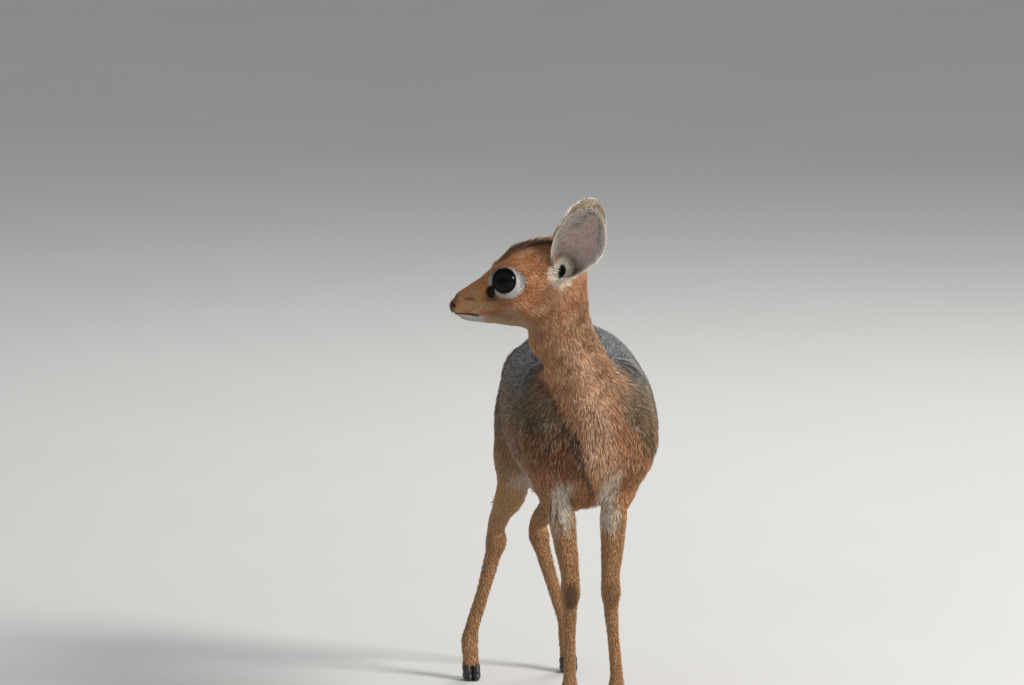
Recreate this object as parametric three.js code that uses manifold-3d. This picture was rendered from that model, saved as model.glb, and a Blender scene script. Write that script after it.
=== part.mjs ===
// A dik-dik, a very small antelope: a hornless female, life-size, standing still with her head turned
// over her right side. Millimetres, +Z up. She faces -Y, and her own left side is towards +X.
//
// The soft body is one smooth solid. Limbs are chains of round stations, each with a radius and a half
// width, blended where they meet. That solid is faceted once for each named part, and thin flat cuts
// part the nodes, which keep a small gap between their faces.

import * as THREE from "three";
import { mergeVertices } from "three/addons/utils/BufferGeometryUtils.js";
import Module from "manifold-3d";

const wasm = await Module();
wasm.setup();

// Driving dimensions
const GAP = 0.3;
const EYE_HEIGHT = 433.5;
const HEAD_TURN = THREE.MathUtils.degToRad(82);
const HEAD_PLACE = new THREE.Vector3(-82.5, -8.5, EYE_HEIGHT);
const EYE_RADIUS = 13;
const EYE_SIDE = 16.5;
const LID_THICKNESS = 1.7;
const LID_RIM = 1.1;
const EAR_LENGTH = 85;
const EAR_WIDTH = 50;
const EAR_WALL = 1.8;
const MOUTH_CORNER = { forward: 25.5, up: -34.5 };
const MOUTH_FRONT = { forward: 40, up: -33.2 };
const LIP_OPENING = 0.9;
const MOUTH_DEPTH = 3;
const CREST_LOCK = { length: 21, width: 7, thickness: 2.4 };
const EAR_LOCK = { length: 25, width: 6.4, thickness: 1.5 };
const LEG_LOCK = { length: 27, width: 8, thickness: 2.4 };
const TAIL_LOCK = { length: 24, width: 9, thickness: 3 };
const HOOF_HEIGHT = 14;
const HOOF_LENGTH = 21;
const HOOF_WIDTH = 8.4;
const CLAW_LENGTH = 7;
const CHEST_CUT = 214;
const THIGH_CUT = 238;
const KNEE_CUT = 131;
const HOCK_CUT = 131;
const MIDLINE_AT_THIGHS = -11;
const GROIN_FLOOR = 176;

// Coat colours and finishes
function finish(color, roughness) {
  return new THREE.MeshStandardMaterial({ color, roughness, metalness: 0 });
}
const RUFOUS = finish(0xb07048, 0.9);
const GRIZZLE = finish(0x7f7667, 0.92);
const OCHRE = finish(0xa9774c, 0.9);
const HORN = finish(0x1d1a18, 0.45);
const EYE = finish(0x0b0a0c, 0.08);

// Directions of the head: forward along the muzzle, left out of the left cheek, and up
const FORWARD = new THREE.Vector3(-Math.sin(HEAD_TURN), Math.cos(HEAD_TURN), 0);
const LEFT = new THREE.Vector3(-Math.cos(HEAD_TURN), -Math.sin(HEAD_TURN), 0);
const UP = new THREE.Vector3(0, 0, 1);
const ACROSS_BODY = new THREE.Vector3(1, 0, 0);

function inHead(forward, left, up) {
  return HEAD_PLACE.clone()
    .addScaledVector(FORWARD, forward)
    .addScaledVector(LEFT, left)
    .addScaledVector(UP, up);
}

// A limb: stations [x, y, z, radius, half width across], drawn through by a smooth curve
function limb(stations, { blend = 8, across = ACROSS_BODY, steps = 4 } = {}) {
  const line = new THREE.CatmullRomCurve3(stations.map(([x, y, z]) => new THREE.Vector3(x, y, z)));
  const sizes = stations.map(([, , , r, w = r]) => new THREE.Vector3(r, w / r, 0));
  const last = stations.length - 1;
  const points = [];
  for (let i = 0; i <= last * steps; i++) {
    const t = i / (last * steps);
    const size = between(sizes, t * last);
    points.push({ at: line.getPoint(t), radius: size.x, ratio: size.y });
  }
  return { points, blend, across, box: limbBox(points, blend) };
}

// Smooth interpolation of sizes between whole stations
function between(sizes, place) {
  const i = Math.min(Math.floor(place), sizes.length - 2);
  const t = place - i;
  const ease = t * t * (3 - 2 * t);
  return sizes[i].clone().lerp(sizes[i + 1], (t + ease) / 2);
}

function limbBox(points, blend) {
  const box = new THREE.Box3();
  for (const { at, radius, ratio } of points) {
    box.union(new THREE.Box3(at.clone(), at.clone()).expandByScalar(radius * Math.max(1, ratio) + blend));
  }
  return box;
}

function limbDistance(one, x, y, z) {
  const { points, across } = one;
  let best = Infinity;
  for (let i = 0; i + 1 < points.length; i++) {
    const a = points[i];
    const b = points[i + 1];
    const bx = b.at.x - a.at.x;
    const by = b.at.y - a.at.y;
    const bz = b.at.z - a.at.z;
    const px = x - a.at.x;
    const py = y - a.at.y;
    const pz = z - a.at.z;
    const along = (px * bx + py * by + pz * bz) / (bx * bx + by * by + bz * bz);
    const t = Math.min(Math.max(along, 0), 1);
    const ex = px - t * bx;
    const ey = py - t * by;
    const ez = pz - t * bz;
    const side = ex * across.x + ey * across.y + ez * across.z;
    const ratio = a.ratio + (b.ratio - a.ratio) * t;
    const squared = ex * ex + ey * ey + ez * ez - side * side + (side / ratio) ** 2;
    best = Math.min(best, Math.sqrt(squared) - a.radius - (b.radius - a.radius) * t);
  }
  return best;
}

function blendedMin(a, b, blend) {
  const near = Math.max(blend - Math.abs(a - b), 0) / blend;
  return Math.min(a, b) - (near * near * blend) / 4;
}

// Trunk: breast, shoulders, barrel, loin, rump
const TRUNK = limb([
  [-2, -4, 290, 38, 38],
  [-2, 22, 284, 58, 60],
  [1, 62, 280, 70, 72],
  [4, 112, 283, 76, 74],
  [7, 165, 288, 75, 71],
  [9, 215, 290, 67, 55],
  [9, 255, 290, 52, 45],
  [3, 280, 287, 36, 36],
]);
const GROIN = limb([
  [-6, 195, 248, 46, 41],
  [-6, 236, 236, 48, 42],
], { blend: 16 });
const BRISKET = limb([
  [-1, -8, 258, 28, 30],
  [-1, 18, 234, 25, 24],
], { blend: 18 });

// Neck, from the withers and breast up to the nape and throat
const NECK_LINE = limb([
  [-4, 20, 296, 49, 43],
  [-10, 4, 330, 38, 32.5],
  [-22, -6, 366, 31, 27.5],
  [-34, -9, 398, 28, 25],
  [-37, -9, 416, 27, 24],
], { blend: 17 });

// Head, with stations given in the head's own directions
function headLimb(stations, blend) {
  const placed = stations.map(([forward, left, up, radius, width]) => {
    const at = inHead(forward, left, up);
    return [at.x, at.y, at.z, radius, width];
  });
  return limb(placed, { blend, across: LEFT });
}
const SKULL = headLimb([
  [-52, 0, 2, 24, 21],
  [-38, 0, 7, 29, 25],
  [-18, 0, 1, 27.5, 24],
], 12);
const MUZZLE = headLimb([
  [-18, 0, 0, 28, 23],
  [0, 0, -11, 25, 20],
  [18, 0, -18, 19.2, 15.5],
  [34, 0, -23.2, 14.8, 11.5],
  [45.5, 0, -26.5, 8.6, 8.5],
], 10);
const JAW = headLimb([
  [-30, 0, -28, 21, 18],
  [-8, 0, -29, 16.5, 14],
  [14, 0, -31.5, 11.5, 10.5],
  [32, 0, -33.5, 6.5, 7.2],
  [38, 0, -33.5, 4.2, 5.4],
], 7);
const NECK_TOP = headLimb([
  [-48, 0, -52, 28, 25],
  [-49, 0, -24, 28, 23],
], 12);

function bothSides(make) {
  return [1, -1].map(make);
}
const BROWS = bothSides((side) => headLimb([
  [8, side * 15.5, 10, 5, 5],
  [-10, side * 20, 15, 6, 6],
  [-20, side * 20, 6, 6, 6],
], 8));
const CHEEKS = bothSides((side) => headLimb([
  [-26, side * 12, -26, 15, 10],
  [-10, side * 15, -18, 10, 8],
], 12));
const EYE_BULGES = bothSides((side) => headLimb([
  [0, side * EYE_SIDE, 0, EYE_RADIUS + LID_THICKNESS, EYE_RADIUS + LID_THICKNESS],
  [-0.5, side * EYE_SIDE, 0.2, EYE_RADIUS + LID_THICKNESS, EYE_RADIUS + LID_THICKNESS],
], 5));
const EAR_ROOTS = bothSides((side) => headLimb([
  [-50, side * 10, 8, 14, 13],
  [-54, side * 13, 8, 10, 9.5],
], 9));

// Forelegs: shoulder blade and upper arm on the chest, then forearm, knee, cannon, fetlock, pastern
function foreleg({ side, foot, knee, top }) {
  const [fx, fy] = foot;
  const shoulder = limb([
    [side * 36, 48, 318, 26, 20],
    [side * 41, 4, 276, 31, 22],
    [side * 34, 30, 240, 26, 17],
  ], { blend: 16 });
  const arm = limb([
    [side * 32, 34, 232, 24, 15],
    [top[0], 20, 208, 18, 12.6],
    [(top[0] + knee[0]) / 2, 9, 176, 12.5, 11],
    [knee[0], 2, 146, 9.6, 8.8],
    [knee[0], 0, 130, 10.4, 9.4],
    [knee[0] * 0.9 + fx * 0.1, 3, 114, 8, 7],
    [(knee[0] + fx) / 2, 4, 84, 6.4, 5.5],
    [fx, fy + 4, 50, 7, 6],
    [fx, fy + 3, 37, 9, 7.8],
    [fx, fy - 3, 23, 7.8, 7.8],
    [fx, fy - 8, 8, 8.6, 9],
  ], { blend: 10 });
  return { side, shoulder, arm, foot: [fx, fy - 8] };
}
const FORELEGS = {
  left: foreleg({ side: 1, foot: [25, 0], knee: [19, 0], top: [25, 15] }),
  right: foreleg({ side: -1, foot: [-20, 0], knee: [-20, 0], top: [-27, 15] }),
};

// Hind legs: thigh, stifle, gaskin, hock with its heel bone, cannon, fetlock, pastern
function hindleg({ side, hip, stifle, hock, foot }) {
  const [fx, fy] = foot;
  const [sx, sy, sz] = stifle;
  const [kx, ky, kz] = hock;
  const thigh = limb([
    [hip[0], hip[1] + 8, hip[2], 38, 22],
    [(hip[0] + sx) / 2, (hip[1] + sy) / 2 + 12, (hip[2] + sz) / 2, 42, 23],
    [sx, sy + 8, sz - 2, 30, 19],
  ], { blend: 16 });
  const shank = limb([
    [sx, sy + 8, sz - 4, 28, 19],
    [sx * 0.9 + kx * 0.1, sy + 32, sz - 42, 20, 14],
    [sx * 0.3 + kx * 0.7, sy * 0.3 + ky * 0.7 + 2, kz + 34, 12, 9.5],
    [kx, ky - 2, kz + 14, 9.5, 8.5],
    [kx, ky, kz, 11, 10],
    [kx * 0.85 + fx * 0.15, ky - 1, kz - 16, 8.6, 7.8],
    [(kx + fx) / 2, (ky + fy) / 2 + 1, 84, 7, 6.4],
    [fx * 0.9 + kx * 0.1, fy + 4, 50, 7.4, 6.8],
    [fx, fy + 3, 36, 9.4, 8.4],
    [fx, fy - 3, 22, 8, 8],
    [fx, fy - 8, 8, 8.8, 9],
  ], { blend: 10 });
  const heel = limb([
    [kx, ky + 6, kz + 2, 5.5, 5.5],
    [kx, ky + 9, kz + 13, 5, 5],
    [kx * 0.8 + sx * 0.2, ky - 8, kz + 42, 5, 5],
  ], { blend: 8 });
  return { side, thigh, shank, heel, foot: [fx, fy - 8] };
}
const HINDLEGS = {
  left: hindleg({
    side: 1, hip: [31, 240, 299], stifle: [41, 212, 236], hock: [-6, 306, 133], foot: [20, 294],
  }),
  right: hindleg({
    side: -1, hip: [-29, 236, 290], stifle: [-44, 190, 236], hock: [-53, 275, 133], foot: [-80, 265],
  }),
};
const TAIL_LINE = limb([
  [-4, 300, 330, 11, 10],
  [-4, 318, 312, 10, 10],
  [-4, 326, 286, 5, 6],
], { blend: 10 });

const FLESH = [
  TRUNK, GROIN, BRISKET, NECK_LINE,
  ...Object.values(FORELEGS).flatMap((leg) => [leg.shoulder, leg.arm]),
  ...Object.values(HINDLEGS).flatMap((leg) => [leg.thigh, leg.shank, leg.heel]),
  SKULL, NECK_TOP, MUZZLE, JAW, ...BROWS, ...CHEEKS, ...EYE_BULGES, ...EAR_ROOTS,
];

// The whole soft body as one function of a place: below zero inside
function bodyDistance(limbs, x, y, z) {
  let distance = Infinity;
  for (const one of limbs) {
    distance = blendedMin(distance, limbDistance(one, x, y, z), one.blend);
  }
  return distance;
}

// Facets the surface inside a box on a grid of cells: one corner in each cell that the surface crosses,
// moved onto it, and a face across each grid edge that it crosses
function facet(limbs, low, high, cell) {
  const region = new THREE.Box3(new THREE.Vector3(...low), new THREE.Vector3(...high));
  const near = limbs.filter((one) => one.box.intersectsBox(region));
  const distance = (x, y, z) => bodyDistance(near, x, y, z);
  const count = [0, 1, 2].map((k) => Math.ceil((high[k] - low[k]) / cell[k]) + 3);
  const place = (k, i) => low[k] + (i - 1) * cell[k];
  const index = (i, j, k) => (k * count[1] + j) * count[0] + i;
  const values = new Float64Array(count[0] * count[1] * count[2]);
  for (let k = 0; k < count[2]; k++) {
    for (let j = 0; j < count[1]; j++) {
      for (let i = 0; i < count[0]; i++) {
        const edge = i === 0 || j === 0 || k === 0
          || i === count[0] - 1 || j === count[1] - 1 || k === count[2] - 1;
        values[index(i, j, k)] = edge ? cell[0] : distance(place(0, i), place(1, j), place(2, k));
      }
    }
  }
  const corners = [];
  const cornerOf = new Map();
  for (let k = 0; k + 1 < count[2]; k++) {
    for (let j = 0; j + 1 < count[1]; j++) {
      for (let i = 0; i + 1 < count[0]; i++) {
        const corner = cellCorner(values, index, [i, j, k]);
        if (corner) {
          cornerOf.set(index(i, j, k), corners.length);
          const at = corner.map((value, axis) => place(axis, value));
          corners.push(settle(distance, at, cell));
        }
      }
    }
  }
  const faces = [];
  const steps = [index(1, 0, 0), index(0, 1, 0), index(0, 0, 1)];
  for (let k = 0; k + 1 < count[2]; k++) {
    for (let j = 0; j + 1 < count[1]; j++) {
      for (let i = 0; i + 1 < count[0]; i++) {
        const here = index(i, j, k);
        const inside = values[here] < 0;
        for (let axis = 0; axis < 3; axis++) {
          if (inside === values[here + steps[axis]] < 0) {
            continue;
          }
          const one = steps[(axis + 1) % 3];
          const two = steps[(axis + 2) % 3];
          const cells = [here - one - two, here - two, here, here - one];
          const ring = cells.map((cellAt) => cornerOf.get(cellAt));
          faces.push(...quad(corners, inside ? ring : ring.reverse()));
        }
      }
    }
  }
  return solidFrom(corners, faces);
}

// The mean of the places where the surface crosses the twelve edges of a cell, in cells
function cellCorner(values, index, [i, j, k]) {
  const sum = [0, 0, 0];
  let crossings = 0;
  for (let axis = 0; axis < 3; axis++) {
    for (let corner = 0; corner < 4; corner++) {
      const start = [i, j, k];
      start[(axis + 1) % 3] += corner & 1;
      start[(axis + 2) % 3] += corner >> 1;
      const end = [...start];
      end[axis] += 1;
      const a = values[index(...start)];
      const b = values[index(...end)];
      if (a < 0 === b < 0) {
        continue;
      }
      start[axis] += a / (a - b);
      start.forEach((value, m) => {
        sum[m] += value;
      });
      crossings += 1;
    }
  }
  return crossings ? sum.map((value) => value / crossings) : null;
}

// Moves a corner along the slope of the field until it lies on the surface, by a part of a cell at most
const DRIFT = 0.4;
function settle(distance, start, cell) {
  const at = [...start];
  const reach = 0.2;
  for (let round = 0; round < 3; round++) {
    const here = distance(...at);
    const slope = [0, 1, 2].map((axis) => {
      const ahead = [...at];
      ahead[axis] += reach;
      return (distance(...ahead) - here) / reach;
    });
    const steepness = slope[0] ** 2 + slope[1] ** 2 + slope[2] ** 2;
    for (let axis = 0; axis < 3; axis++) {
      const moved = at[axis] - (here * slope[axis]) / Math.max(steepness, 0.05);
      const drift = cell[axis] * DRIFT;
      at[axis] = THREE.MathUtils.clamp(moved, start[axis] - drift, start[axis] + drift);
    }
  }
  return at;
}

// Two triangles of a four-sided face, split along the shorter diagonal
function quad(corners, [a, b, c, d]) {
  const apart = (m, n) => Math.hypot(...corners[m].map((value, axis) => value - corners[n][axis]));
  return apart(a, c) <= apart(b, d) ? [[a, b, c], [a, c, d]] : [[a, b, d], [b, c, d]];
}

function solidFrom(corners, faces) {
  const vertProperties = new Float32Array(corners.flat());
  const triVerts = new Uint32Array(faces.flat());
  return new wasm.Manifold(new wasm.Mesh({ numProp: 3, vertProperties, triVerts }));
}

// A closed three.js geometry as a solid
function solidOf(geometry) {
  const plain = geometry.clone();
  plain.deleteAttribute("normal");
  plain.deleteAttribute("uv");
  const merged = mergeVertices(plain, 1e-4);
  const triVerts = new Uint32Array(merged.index.array);
  const vertProperties = new Float32Array(merged.attributes.position.array);
  return new wasm.Manifold(new wasm.Mesh({ numProp: 3, vertProperties, triVerts }));
}

function block(low, high) {
  const size = high.map((value, axis) => value - low[axis]);
  const geometry = new THREE.BoxGeometry(...size);
  geometry.translate(...low.map((value, axis) => value + size[axis] / 2));
  return solidOf(geometry);
}

// Only the largest closed surface of a solid
function largest(solid) {
  return solid.decompose().sort((a, b) => b.volume() - a.volume())[0];
}

const group = new THREE.Group();

// Corners that a cut left closer together than this are made one
const WELD = 0.03;
function weld(solid) {
  const mesh = solid.getMesh();
  const at = mesh.vertProperties;
  const same = Array.from({ length: at.length / 3 }, (_, i) => i);
  const find = (i) => {
    let root = i;
    while (same[root] !== root) {
      root = same[root];
    }
    return root;
  };
  const triangles = [];
  for (let i = 0; i < mesh.triVerts.length; i += 3) {
    triangles.push([0, 1, 2].map((k) => mesh.triVerts[i + k]));
  }
  for (const triangle of triangles) {
    for (let k = 0; k < 3; k++) {
      const [a, b] = [triangle[k], triangle[(k + 1) % 3]];
      const apart = [0, 1, 2].map((axis) => at[a * 3 + axis] - at[b * 3 + axis]);
      if (Math.hypot(...apart) < WELD) {
        same[find(a)] = find(b);
      }
    }
  }
  const kept = new Map();
  for (const triangle of triangles) {
    const face = triangle.map(find);
    if (new Set(face).size < 3) {
      continue;
    }
    const key = [...face].sort((a, b) => a - b).join();
    if (kept.has(key)) {
      kept.delete(key);
    } else {
      kept.set(key, face);
    }
  }
  const used = [...new Set([...kept.values()].flat())];
  const place = new Map(used.map((corner, i) => [corner, i]));
  const corners = used.map((corner) => [0, 1, 2].map((axis) => at[corner * 3 + axis]));
  const faces = [...kept.values()].map((face) => face.map((corner) => place.get(corner)));
  return largest(solidFrom(corners, faces));
}

function addNode(name, solid, material) {
  const mesh = weld(largest(solid)).getMesh();
  const geometry = new THREE.BufferGeometry();
  geometry.setAttribute("position", new THREE.BufferAttribute(new Float32Array(mesh.vertProperties), 3));
  geometry.setIndex(new THREE.BufferAttribute(new Uint32Array(mesh.triVerts), 1));
  geometry.computeVertexNormals();
  const node = new THREE.Mesh(geometry, material);
  node.name = name;
  group.add(node);
}

// Everything on one side of a flat cut, as a large block turned to the cut's normal and set back by half
// the gap
const HALF_SPACE = 600;
function beyond(point, normal) {
  const geometry = new THREE.BoxGeometry(HALF_SPACE, HALF_SPACE, HALF_SPACE);
  geometry.translate(0, 0, HALF_SPACE / 2 + GAP / 2);
  const turn = new THREE.Quaternion().setFromUnitVectors(UP, normal.clone().normalize());
  geometry.applyQuaternion(turn);
  geometry.translate(point.x, point.y, point.z);
  return solidOf(geometry);
}

// The place where the surface of the body lies from a place inside it, and the way it faces there
const LONGEST_SEARCH = 80;
function surface(limbs, from, direction) {
  const away = direction.clone().normalize();
  let near = 0;
  let far = LONGEST_SEARCH;
  for (let i = 0; i < 26; i++) {
    const middle = (near + far) / 2;
    const at = from.clone().addScaledVector(away, middle);
    if (bodyDistance(limbs, at.x, at.y, at.z) < 0) {
      near = middle;
    } else {
      far = middle;
    }
  }
  const at = from.clone().addScaledVector(away, near);
  const reach = 0.5;
  const here = bodyDistance(limbs, at.x, at.y, at.z);
  const out = new THREE.Vector3(
    bodyDistance(limbs, at.x + reach, at.y, at.z) - here,
    bodyDistance(limbs, at.x, at.y + reach, at.z) - here,
    bodyDistance(limbs, at.x, at.y, at.z + reach) - here,
  ).normalize();
  return { at, out };
}

// A lock of hair: flat, tapered to a point, bent, and leaning away from the skin. It starts below the
// surface by its sink, and follows the lie of the coat
const LOCK_RINGS = [
  { along: 0, width: 0.6 },
  { along: 0.3, width: 1 },
  { along: 0.65, width: 0.72 },
];
function lock({ at, out, lie, size, sink, lift, curl, turn = 0 }) {
  const along = lie.clone().addScaledVector(out, -lie.dot(out)).normalize();
  along.applyAxisAngle(out, turn);
  const aside = new THREE.Vector3().crossVectors(out, along);
  const centre = (t) => at.clone()
    .addScaledVector(along, t * size.length)
    .addScaledVector(out, -sink + size.length * (lift * t - curl * t * t))
    .addScaledVector(aside, Math.sin(turn) * size.length * 0.3 * t * t);
  const corners = [];
  for (const ring of LOCK_RINGS) {
    const middle = centre(ring.along);
    const half = (size.width / 2) * ring.width;
    const thick = (size.thickness / 2) * ring.width;
    for (const [sideways, outwards] of [[half, 0], [0, thick], [-half, 0], [0, -thick]]) {
      const corner = middle.clone().addScaledVector(aside, sideways).addScaledVector(out, outwards);
      corners.push(corner.toArray());
    }
  }
  const tip = corners.push(centre(1).toArray()) - 1;
  const faces = [[0, 1, 2], [0, 2, 3]];
  for (let ring = 0; ring < LOCK_RINGS.length; ring++) {
    for (let side = 0; side < 4; side++) {
      const a = ring * 4 + side;
      const b = ring * 4 + (side + 1) % 4;
      if (ring === LOCK_RINGS.length - 1) {
        faces.push([a, tip, b]);
      } else {
        faces.push(...quad(corners, [a, a + 4, b + 4, b]));
      }
    }
  }
  return facingOut(corners, faces);
}

function facingOut(corners, faces) {
  const solid = solidFrom(corners, faces);
  return solid.volume() > 0 ? solid : solidFrom(corners, faces.map(([a, b, c]) => [a, c, b]));
}

// A number between two others, drawn at random but the same each time
THREE.MathUtils.seededRandom(12);
function draw(low, high) {
  return low + (high - low) * THREE.MathUtils.seededRandom();
}

function fuse(pieces) {
  return pieces.reduce((whole, piece) => whole.add(piece));
}

// Cuts between neck and trunk, and neck and head
const NECK_BASE = { point: new THREE.Vector3(-5, -2, 333), normal: new THREE.Vector3(-0.2, -0.55, 1) };
const NECK_HEAD = { point: inHead(-48, 0, -47), normal: UP.clone().addScaledVector(FORWARD, 0.35) };
function opposite({ point, normal }) {
  return { point, normal: normal.clone().negate() };
}
function halfSpace({ point, normal }) {
  return beyond(point, normal);
}

// The space that each pair of legs takes below the trunk, grown or shrunk by half the gap
const HIND_START = 172;
function foreSpace(side, grow) {
  const inner = side * (2 - grow);
  return block(
    [Math.min(inner, side * 90), -60, 0],
    [Math.max(inner, side * 90), 62 + grow, CHEST_CUT + grow],
  );
}
function hindSpace(grow) {
  return block([-200, HIND_START - grow, 0], [200, 400, THIGH_CUT + grow]);
}

// Trunk
const TRUNK_CELL = [14.4, 17, 14.4];
const wholeTrunk = facet(FLESH, [-95, -60, 170], [90, 335, 380], TRUNK_CELL);
const torso = wholeTrunk
  .intersect(halfSpace(opposite(NECK_BASE)))
  .subtract(foreSpace(1, GAP / 2))
  .subtract(foreSpace(-1, GAP / 2))
  .subtract(hindSpace(GAP / 2));
addNode("torso", torso, GRIZZLE);

// Neck
const NECK_CELL = [10, 10.8, 11];
const wholeNeck = facet(FLESH, [-75, -60, 290], [60, 80, 430], NECK_CELL);
const neck = wholeNeck.intersect(halfSpace(NECK_BASE)).intersect(halfSpace(opposite(NECK_HEAD)));
addNode("neck", neck, RUFOUS);

// Head
const HEAD_CELL = [5.2, 5.1, 5.2];
const wholeHead = facet(FLESH, [-146, -46, 370], [4, 28, 486], HEAD_CELL);
const HEAD_FLESH = FLESH.filter((one) => one.across === LEFT);
const eyes = bothSides((side) => {
  const look = LEFT.clone().multiplyScalar(side).addScaledVector(FORWARD, 0.28).addScaledVector(UP, 0.12);
  return { side, at: inHead(0, side * EYE_SIDE, 0), look: look.normalize() };
});

// Turns a piece made along +Z to point a given way, and puts it in its place
function placed(geometry, at, direction) {
  geometry.applyQuaternion(new THREE.Quaternion().setFromUnitVectors(UP, direction));
  return solidOf(geometry.translate(at.x, at.y, at.z));
}

// Lids: a raised rim round the opening, over the eyeball, and an opening cut along the line of sight
const LID_OPENING = THREE.MathUtils.degToRad(55);
function lidRim({ at, look }) {
  const reach = EYE_RADIUS + GAP + LID_RIM;
  const rim = new THREE.TorusGeometry(reach * Math.sin(LID_OPENING), LID_RIM, 5, 18);
  return placed(rim.translate(0, 0, reach * Math.cos(LID_OPENING)), at, look);
}
function lidOpening({ at, look }) {
  const reach = EYE_RADIUS * 2;
  const cone = new THREE.ConeGeometry(reach * Math.tan(LID_OPENING), reach, 18);
  cone.rotateX(-Math.PI / 2).translate(0, 0, reach / 2);
  return placed(cone, at, look);
}
function eyeball({ at }, grow = 0) {
  return solidOf(new THREE.SphereGeometry(EYE_RADIUS + grow, 18, 10).translate(at.x, at.y, at.z));
}

// A pit with an oval mouth, sunk in where a line from inside the head meets the skin
function pit(from, direction, [across, along, deep], inward) {
  const { at } = surface(HEAD_FLESH, from, direction);
  const oval = new THREE.SphereGeometry(1, 10, 7).scale(across, along, deep);
  return placed(oval, at.addScaledVector(direction, -inward), direction);
}
const NOSTRIL = [1.3, 2.6, 3.4];
const GLAND = [3, 5, 2.8];
function nostril(side) {
  const direction = FORWARD.clone().addScaledVector(LEFT, side * 0.9).addScaledVector(UP, 0.1).normalize();
  return pit(inHead(44, 0, -25.5), direction, NOSTRIL, 0.4);
}
function gland(side) {
  const direction = LEFT.clone().multiplyScalar(side).addScaledVector(FORWARD, 0.3).normalize();
  return pit(inHead(10, 0, -9.5), direction, GLAND, 0.3);
}

// The line of the mouth: a groove from corner to corner round the front, wider between the lips
const MOUTH_SIDE_STEPS = 4;
const MOUTH_FRONT_STEPS = 6;
function mouth() {
  const stops = [];
  const stop = (forward, up, direction, share) => stops.push({
    ...surface(HEAD_FLESH, inHead(forward, 0, up), direction), share,
  });
  for (let i = 0; i < MOUTH_SIDE_STEPS; i++) {
    const t = i / MOUTH_SIDE_STEPS;
    const forward = THREE.MathUtils.lerp(MOUTH_CORNER.forward, MOUTH_FRONT.forward, t);
    const up = THREE.MathUtils.lerp(MOUTH_CORNER.up, MOUTH_FRONT.up, t) + Math.sin(t * Math.PI);
    stop(forward, up, LEFT, Math.min(0.25 + t * 1.6, 1));
  }
  for (let i = 0; i <= MOUTH_FRONT_STEPS / 2; i++) {
    const angle = (i / MOUTH_FRONT_STEPS) * Math.PI;
    const direction = LEFT.clone().multiplyScalar(Math.cos(angle)).addScaledVector(FORWARD, Math.sin(angle));
    stop(MOUTH_FRONT.forward, MOUTH_FRONT.up, direction, 1);
  }
  const mirrored = stops.slice(0, -1).reverse().map(({ at, out, share }) => ({
    at: at.clone().addScaledVector(LEFT, -2 * at.clone().sub(HEAD_PLACE).dot(LEFT)),
    out: out.clone().addScaledVector(LEFT, -2 * out.dot(LEFT)),
    share,
  }));
  const rings = [...stops, ...mirrored].map(({ at, out, share }) => {
    const level = out.clone().addScaledVector(UP, -out.dot(UP)).normalize();
    const outer = at.clone().addScaledVector(level, MOUTH_DEPTH);
    const half = LIP_OPENING * share;
    return [
      outer.clone().addScaledVector(UP, half * 2).toArray(),
      outer.clone().addScaledVector(UP, -half * 2).toArray(),
      at.clone().addScaledVector(level, -MOUTH_DEPTH * share).toArray(),
    ];
  });
  const corners = rings.flat();
  const faces = [[0, 1, 2]];
  for (let ring = 0; ring + 1 < rings.length; ring++) {
    for (let side = 0; side < 3; side++) {
      const a = ring * 3 + side;
      const b = ring * 3 + (side + 1) % 3;
      faces.push(...quad(corners, [b, a, a + 3, b + 3]));
    }
  }
  const last = corners.length - 3;
  faces.push([last, last + 2, last + 1]);
  return facingOut(corners, faces);
}

// Crest: locks along the forehead and crown that lie back and overlap
const CREST_START = 3;
const CREST_STEP = 9.4;
const CREST_ROWS = 5;
const CREST_SPREAD = 5.6;
function crest() {
  const locks = [];
  for (let row = 0; row < CREST_ROWS; row++) {
    for (const across of [-1, 0, 1]) {
      const forward = CREST_START - CREST_STEP * (row + (across ? 0.5 : 0)) + draw(-1, 1);
      const left = across * CREST_SPREAD + draw(-0.8, 0.8);
      const share = draw(0.85, 1.15) * (row ? 1 : 0.75);
      const size = { ...CREST_LOCK, length: CREST_LOCK.length * share, width: CREST_LOCK.width * share };
      locks.push(lock({
        ...surface(HEAD_FLESH, inHead(forward, left, 0), UP),
        lie: FORWARD.clone().negate(),
        size, sink: 1.2, lift: draw(0.22, 0.27), curl: 0.1, turn: across * 0.1 + draw(-0.08, 0.08),
      }));
    }
  }
  return locks;
}

// Ears' direction, from the root to the tip, and the way that their cups open
function earFrame(side) {
  const root = inHead(-49, side * 12, -4);
  const axis = UP.clone().multiplyScalar(0.88).addScaledVector(FORWARD, -0.42);
  axis.addScaledVector(LEFT, side * 0.34).normalize();
  const open = LEFT.clone().multiplyScalar(side).addScaledVector(FORWARD, 0.42);
  open.addScaledVector(axis, -open.dot(axis)).normalize();
  return { root, axis, open, sideways: new THREE.Vector3().crossVectors(axis, open) };
}
function earHole(side) {
  const { root, axis, open } = earFrame(side);
  const hollow = new THREE.SphereGeometry(1, 10, 8).scale(7.6, 7.6, 13);
  return placed(hollow, root.clone().addScaledVector(axis, 17).addScaledVector(open, 1), axis);
}

const head = fuse([wholeHead.intersect(halfSpace(NECK_HEAD)), ...crest(), ...eyes.map(lidRim)])
  .subtract(fuse([...eyes.map((eye) => eyeball(eye, GAP)), ...eyes.map(lidOpening)]))
  .subtract(fuse([...bothSides(nostril), ...bothSides(gland), ...bothSides(earHole), mouth()]));
addNode("head", head, RUFOUS);
for (const eye of eyes) {
  addNode(eye.side > 0 ? "eye_left" : "eye_right", eyeball(eye), EYE);
}

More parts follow.
